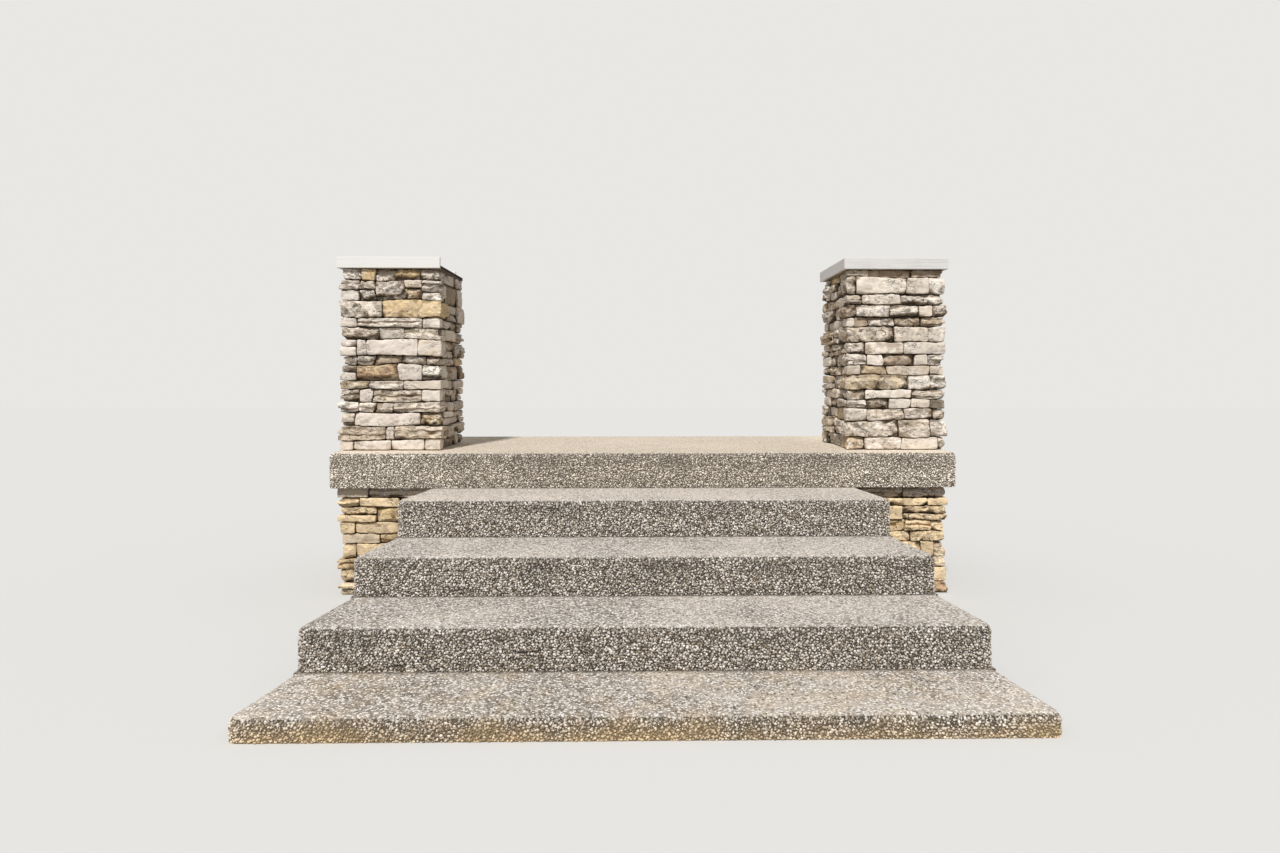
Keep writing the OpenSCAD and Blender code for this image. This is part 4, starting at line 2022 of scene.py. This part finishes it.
@dataclass
class Pier:
    """A pier's four stone facings and its core.

    Attributes:
        side: Which pier.
        front: Bands of its front from the top down: height, set-back and stones.
        seed: Seed of its stones.
        stone: The stones' material.
        block: The core's material.
        foot_gap: Height of the joint between the landing and its lowest band.
    """

    side: Side
    front: tuple[tuple[float, float, str], ...]
    seed: int
    stone: Material
    block: Material
    foot_gap: float = 3 * MM

    def walls(self, name: str) -> list[Wall]:
        """Give the four walls from the front round to the right as seen from outside.

        Args:
            name: Start of the pier's node names.

        Returns:
            The walls.
        """
        boxes = [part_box(f"{name}_{face}") for face in self.side.value]
        x0, x1 = min(b[0].x for b in boxes), max(b[1].x for b in boxes)
        y0, y1 = min(b[0].y for b in boxes), max(b[1].y for b in boxes)
        starts = ((x0, y0), (x1, y0), (x1, y1), (x0, y1))
        plan = [read_band(text) for _, _, text in reversed(self.front)]
        return [Wall(f"{name}_{face}", start, k, y1 - y0 if k % 2 else x1 - x0, (k - 1) % 4, k,
                     PIER_LAYING[face], None if k else plan)
                for k, (face, start) in enumerate(zip(self.side.value, starts))]

    def build(self) -> None:
        """Build the facings and finish the core."""
        name = f"pier_{self.side.name.lower()}"
        low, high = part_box(f"{name}_core")
        heights, backs, _ = zip(*reversed(self.front))
        masonry = Masonry(high.z - low.z, low.z, heights, backs, GREY_MIX, self.seed, None,
                          self.foot_gap)
        StoneWork(masonry, self.walls(name)).build("ledge_stone_grey", self.stone)
        refinish(f"{name}_core", self.block)


@dataclass
class Foundation:
    """The stone facings under the slab and the block walls behind them."""

    stone: Material
    block: Material
    bands: tuple[float, ...] = (76, 82, 58, 90, 62, 70, 84, 52, 66)
    seed: int = 301
    front: Laying = Laying(8.5 * MM)
    side: Laying = Laying(13 * MM)
    back: Laying = Laying(14 * MM)

    def walls(self) -> list[Wall]:
        """Give the five walls from the front right one round to the right.

        Returns:
            The walls.
        """
        left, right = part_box("facing_front_left"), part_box("facing_front_right")
        x0, x1, y0, y1 = left[0].x, right[1].x, left[0].y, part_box("facing_back")[1].y
        return [
            Wall("facing_front_right", (right[0].x, y0), 0, x1 - right[0].x, None, 0, self.front),
            Wall("facing_right", (x1, y0), 1, y1 - y0, 0, 1, self.side),
            Wall("facing_back", (x1, y1), 2, x1 - x0, 1, 2, self.back),
            Wall("facing_left", (x0, y1), 3, y1 - y0, 2, 3, self.side),
            Wall("facing_front_left", (x0, y0), 0, left[1].x - x0, 3, None, self.front),
        ]

    def build(self) -> None:
        """Build the facings and finish the block walls."""
        low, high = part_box("foundation_front")
        masonry = Masonry(high.z - low.z, low.z, self.bands, (), BUFF_MIX, self.seed,
                          SHADED_TOP_MIX)
        StoneWork(masonry, self.walls()).build("ledge_stone_buff", self.stone)
        for face in ("front", "back", "left", "right"):
            refinish(f"foundation_{face}", self.block)


@dataclass
class Board:
    """One board of a cap, with its long edges eased.

    Attributes:
        node: Node that it stands for.
        turn: Quarter turns from the front one, as seen from above.
        mitred: Whether its start and its end are mitred.
        paint: Its paint.
        ease: Width of the eased edges.
        sections: Number of sections along it.
    """

    node: str
    turn: int
    mitred: tuple[bool, bool]
    paint: Material
    ease: float = 2 * MM
    sections: int = 13

    def build(self) -> None:
        """Build the board: its section carried from one end to the other.

        At a mitred end each point of the section is drawn back by its depth behind the
        outer face.
        """
        low, high = (np.array(corner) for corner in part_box(self.node))
        along, inward = heading(self.turn)
        size = high - low
        length, depth = abs(size @ along), abs(size @ inward)
        middle = (low + high) / 2
        start = middle - along * length / 2 - inward * depth / 2
        e, tall = self.ease, size[2]
        section = np.array([(e, 0), (0, e), (0, tall - e), (e, tall), (depth - e, tall),
                            (depth, tall - e), (depth, e), (depth - e, 0)])
        share = np.linspace(0, 1, self.sections)[:, None]
        first = section[:, 0] * self.mitred[0]
        last = length - section[:, 0] * self.mitred[1]
        s = first * (1 - share) + last * share
        points = start + s[..., None] * along + section[:, :1] * inward
        points[..., 2] = low[2] + section[:, 1]
        parts = MeshParts()
        parts.add(points.reshape(-1, 3), carried_faces(*s.shape))
        install(parts.build(f"{self.node}_eased", 25), "painted_board", self.paint, self.node)


@dataclass
class Cap:
    """A pier's cap: white boards round a deck."""

    side: Side
    paint: PaintFinish
    deck: DeckFinish = DeckFinish()

    def build(self) -> None:
        """Dress the boards and the deck."""
        name = f"cap_{self.side.name.lower()}"
        nodes = [f"{name}_{face}_board" for face in self.side.value]
        present = [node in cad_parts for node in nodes]
        for k, node in enumerate(nodes):
            if present[k]:
                paint = self.paint.material(f"{node}_paint", k % 2 == 0)
                mitred = present[(k - 1) % 4], present[(k + 1) % 4]
                Board(node, k, mitred, paint).build()
        refinish(f"{name}_deck", self.deck.material(f"{name}_deck"))


@dataclass
class Studio:
    """A plain pale floor, a soft key light from the front left, fill and the camera."""

    floor_seen: Colour = srgb(219, 218, 215)
    floor_lit: Colour = srgb(160, 157, 152)
    background: Colour = srgb(232, 231, 228)
    floor_size: float = 60.0
    lens: float = 21.71
    eye: tuple[float, float, float] = (-0.035, -4.245, 1.26)
    turn: float = -0.9
    shift: tuple[float, float] = (-0.0083, -0.0362)
    key_from: tuple[float, float, float] = (-0.22, -0.80, 0.90)
    key_energy: float = 3.2
    key_spread: float = 5.0
    world_level: float = 0.38

    def floor(self) -> None:
        """Lay the floor. It throws back less light than it shows."""
        corners = np.array([[-1, -1, 0], [1, -1, 0], [1, 1, 0], [-1, 1, 0]])
        parts = MeshParts()
        parts.add(corners * self.floor_size / 2, [np.array([[0, 1, 2, 3]])])
        floor = parts.build("studio_floor", 30)
        graph = Graph("studio_floor")
        path = graph.node("LightPath", {})
        seen = graph.maths("MAXIMUM", path.outputs["Is Camera Ray"], path.outputs["Is Glossy Ray"])
        tone = graph.mix(seen, self.floor_lit, self.floor_seen)
        floor.data.materials.append(graph.close(tone, 0.9, gloss=0.0))

    def key(self) -> None:
        """Hang the key light, a far lamp as wide as its spread, which softens shadows."""
        data = bpy.data.lights.new("key", "SUN")
        data.energy = self.key_energy
        data.angle = math.radians(self.key_spread)
        lamp = bpy.data.objects.new("key", data)
        towards = Vector(self.key_from).normalized()
        lamp.rotation_mode = "QUATERNION"
        lamp.rotation_quaternion = towards.to_track_quat("Z", "Y")
        bpy.context.scene.collection.objects.link(lamp)

    def world(self) -> None:
        """Light the scene evenly all round, with a pale background behind it."""
        world = bpy.data.worlds.new("studio")
        bpy.context.scene.world = world
        tree = Nodes(world)
        path = tree.node("LightPath", {})
        light = tree.node("Background", {"Color": (1, 1, 1), "Strength": self.world_level})
        seen = tree.node("Background", {"Color": self.background})
        mix = tree.node("MixShader", {"Fac": path.outputs["Is Camera Ray"],
                                      1: light.outputs["Background"],
                                      2: seen.outputs["Background"]})
        tree.node("OutputWorld", {"Surface": mix.outputs["Shader"]})

    def camera(self) -> None:
        """Stand the camera level in front of the foot, turned slightly to the right."""
        data = bpy.data.cameras.new("camera")
        data.lens = self.lens
        data.sensor_width = 36.0
        data.shift_x, data.shift_y = self.shift
        camera = bpy.data.objects.new("camera", data)
        camera.location = self.eye
        camera.rotation_euler = (math.pi / 2, 0, math.radians(self.turn))
        bpy.context.scene.collection.objects.link(camera)
        bpy.context.scene.camera = camera

    def build(self) -> None:
        """Set up floor, light and camera."""
        bpy.context.scene.view_settings.view_transform = "Standard"
        self.camera()
        self.floor()
        self.key()
        self.world()


def main() -> None:
    """Build the looks of the whole object."""
    logging.basicConfig(level=logging.INFO, format="%(message)s")
    Studio().build()
    Flight().build()
    stone = StoneFinish()
    block = BlockFinish().material()
    pier_stone = stone.material("ledge_stone_grey")
    Pier(Side.LEFT, LEFT_FRONT, 101, pier_stone, block).build()
    Pier(Side.RIGHT, RIGHT_FRONT, 201, pier_stone, block).build()
    Foundation(stone.material("ledge_stone_buff"), block).build()
    Cap(Side.LEFT, PaintFinish(srgb(233, 231, 226), srgb(214, 210, 202), 0.35)).build()
    Cap(Side.RIGHT, PaintFinish(srgb(222, 219, 216), srgb(186, 182, 176), 0.8)).build()


if __name__ == "__main__":
    main()
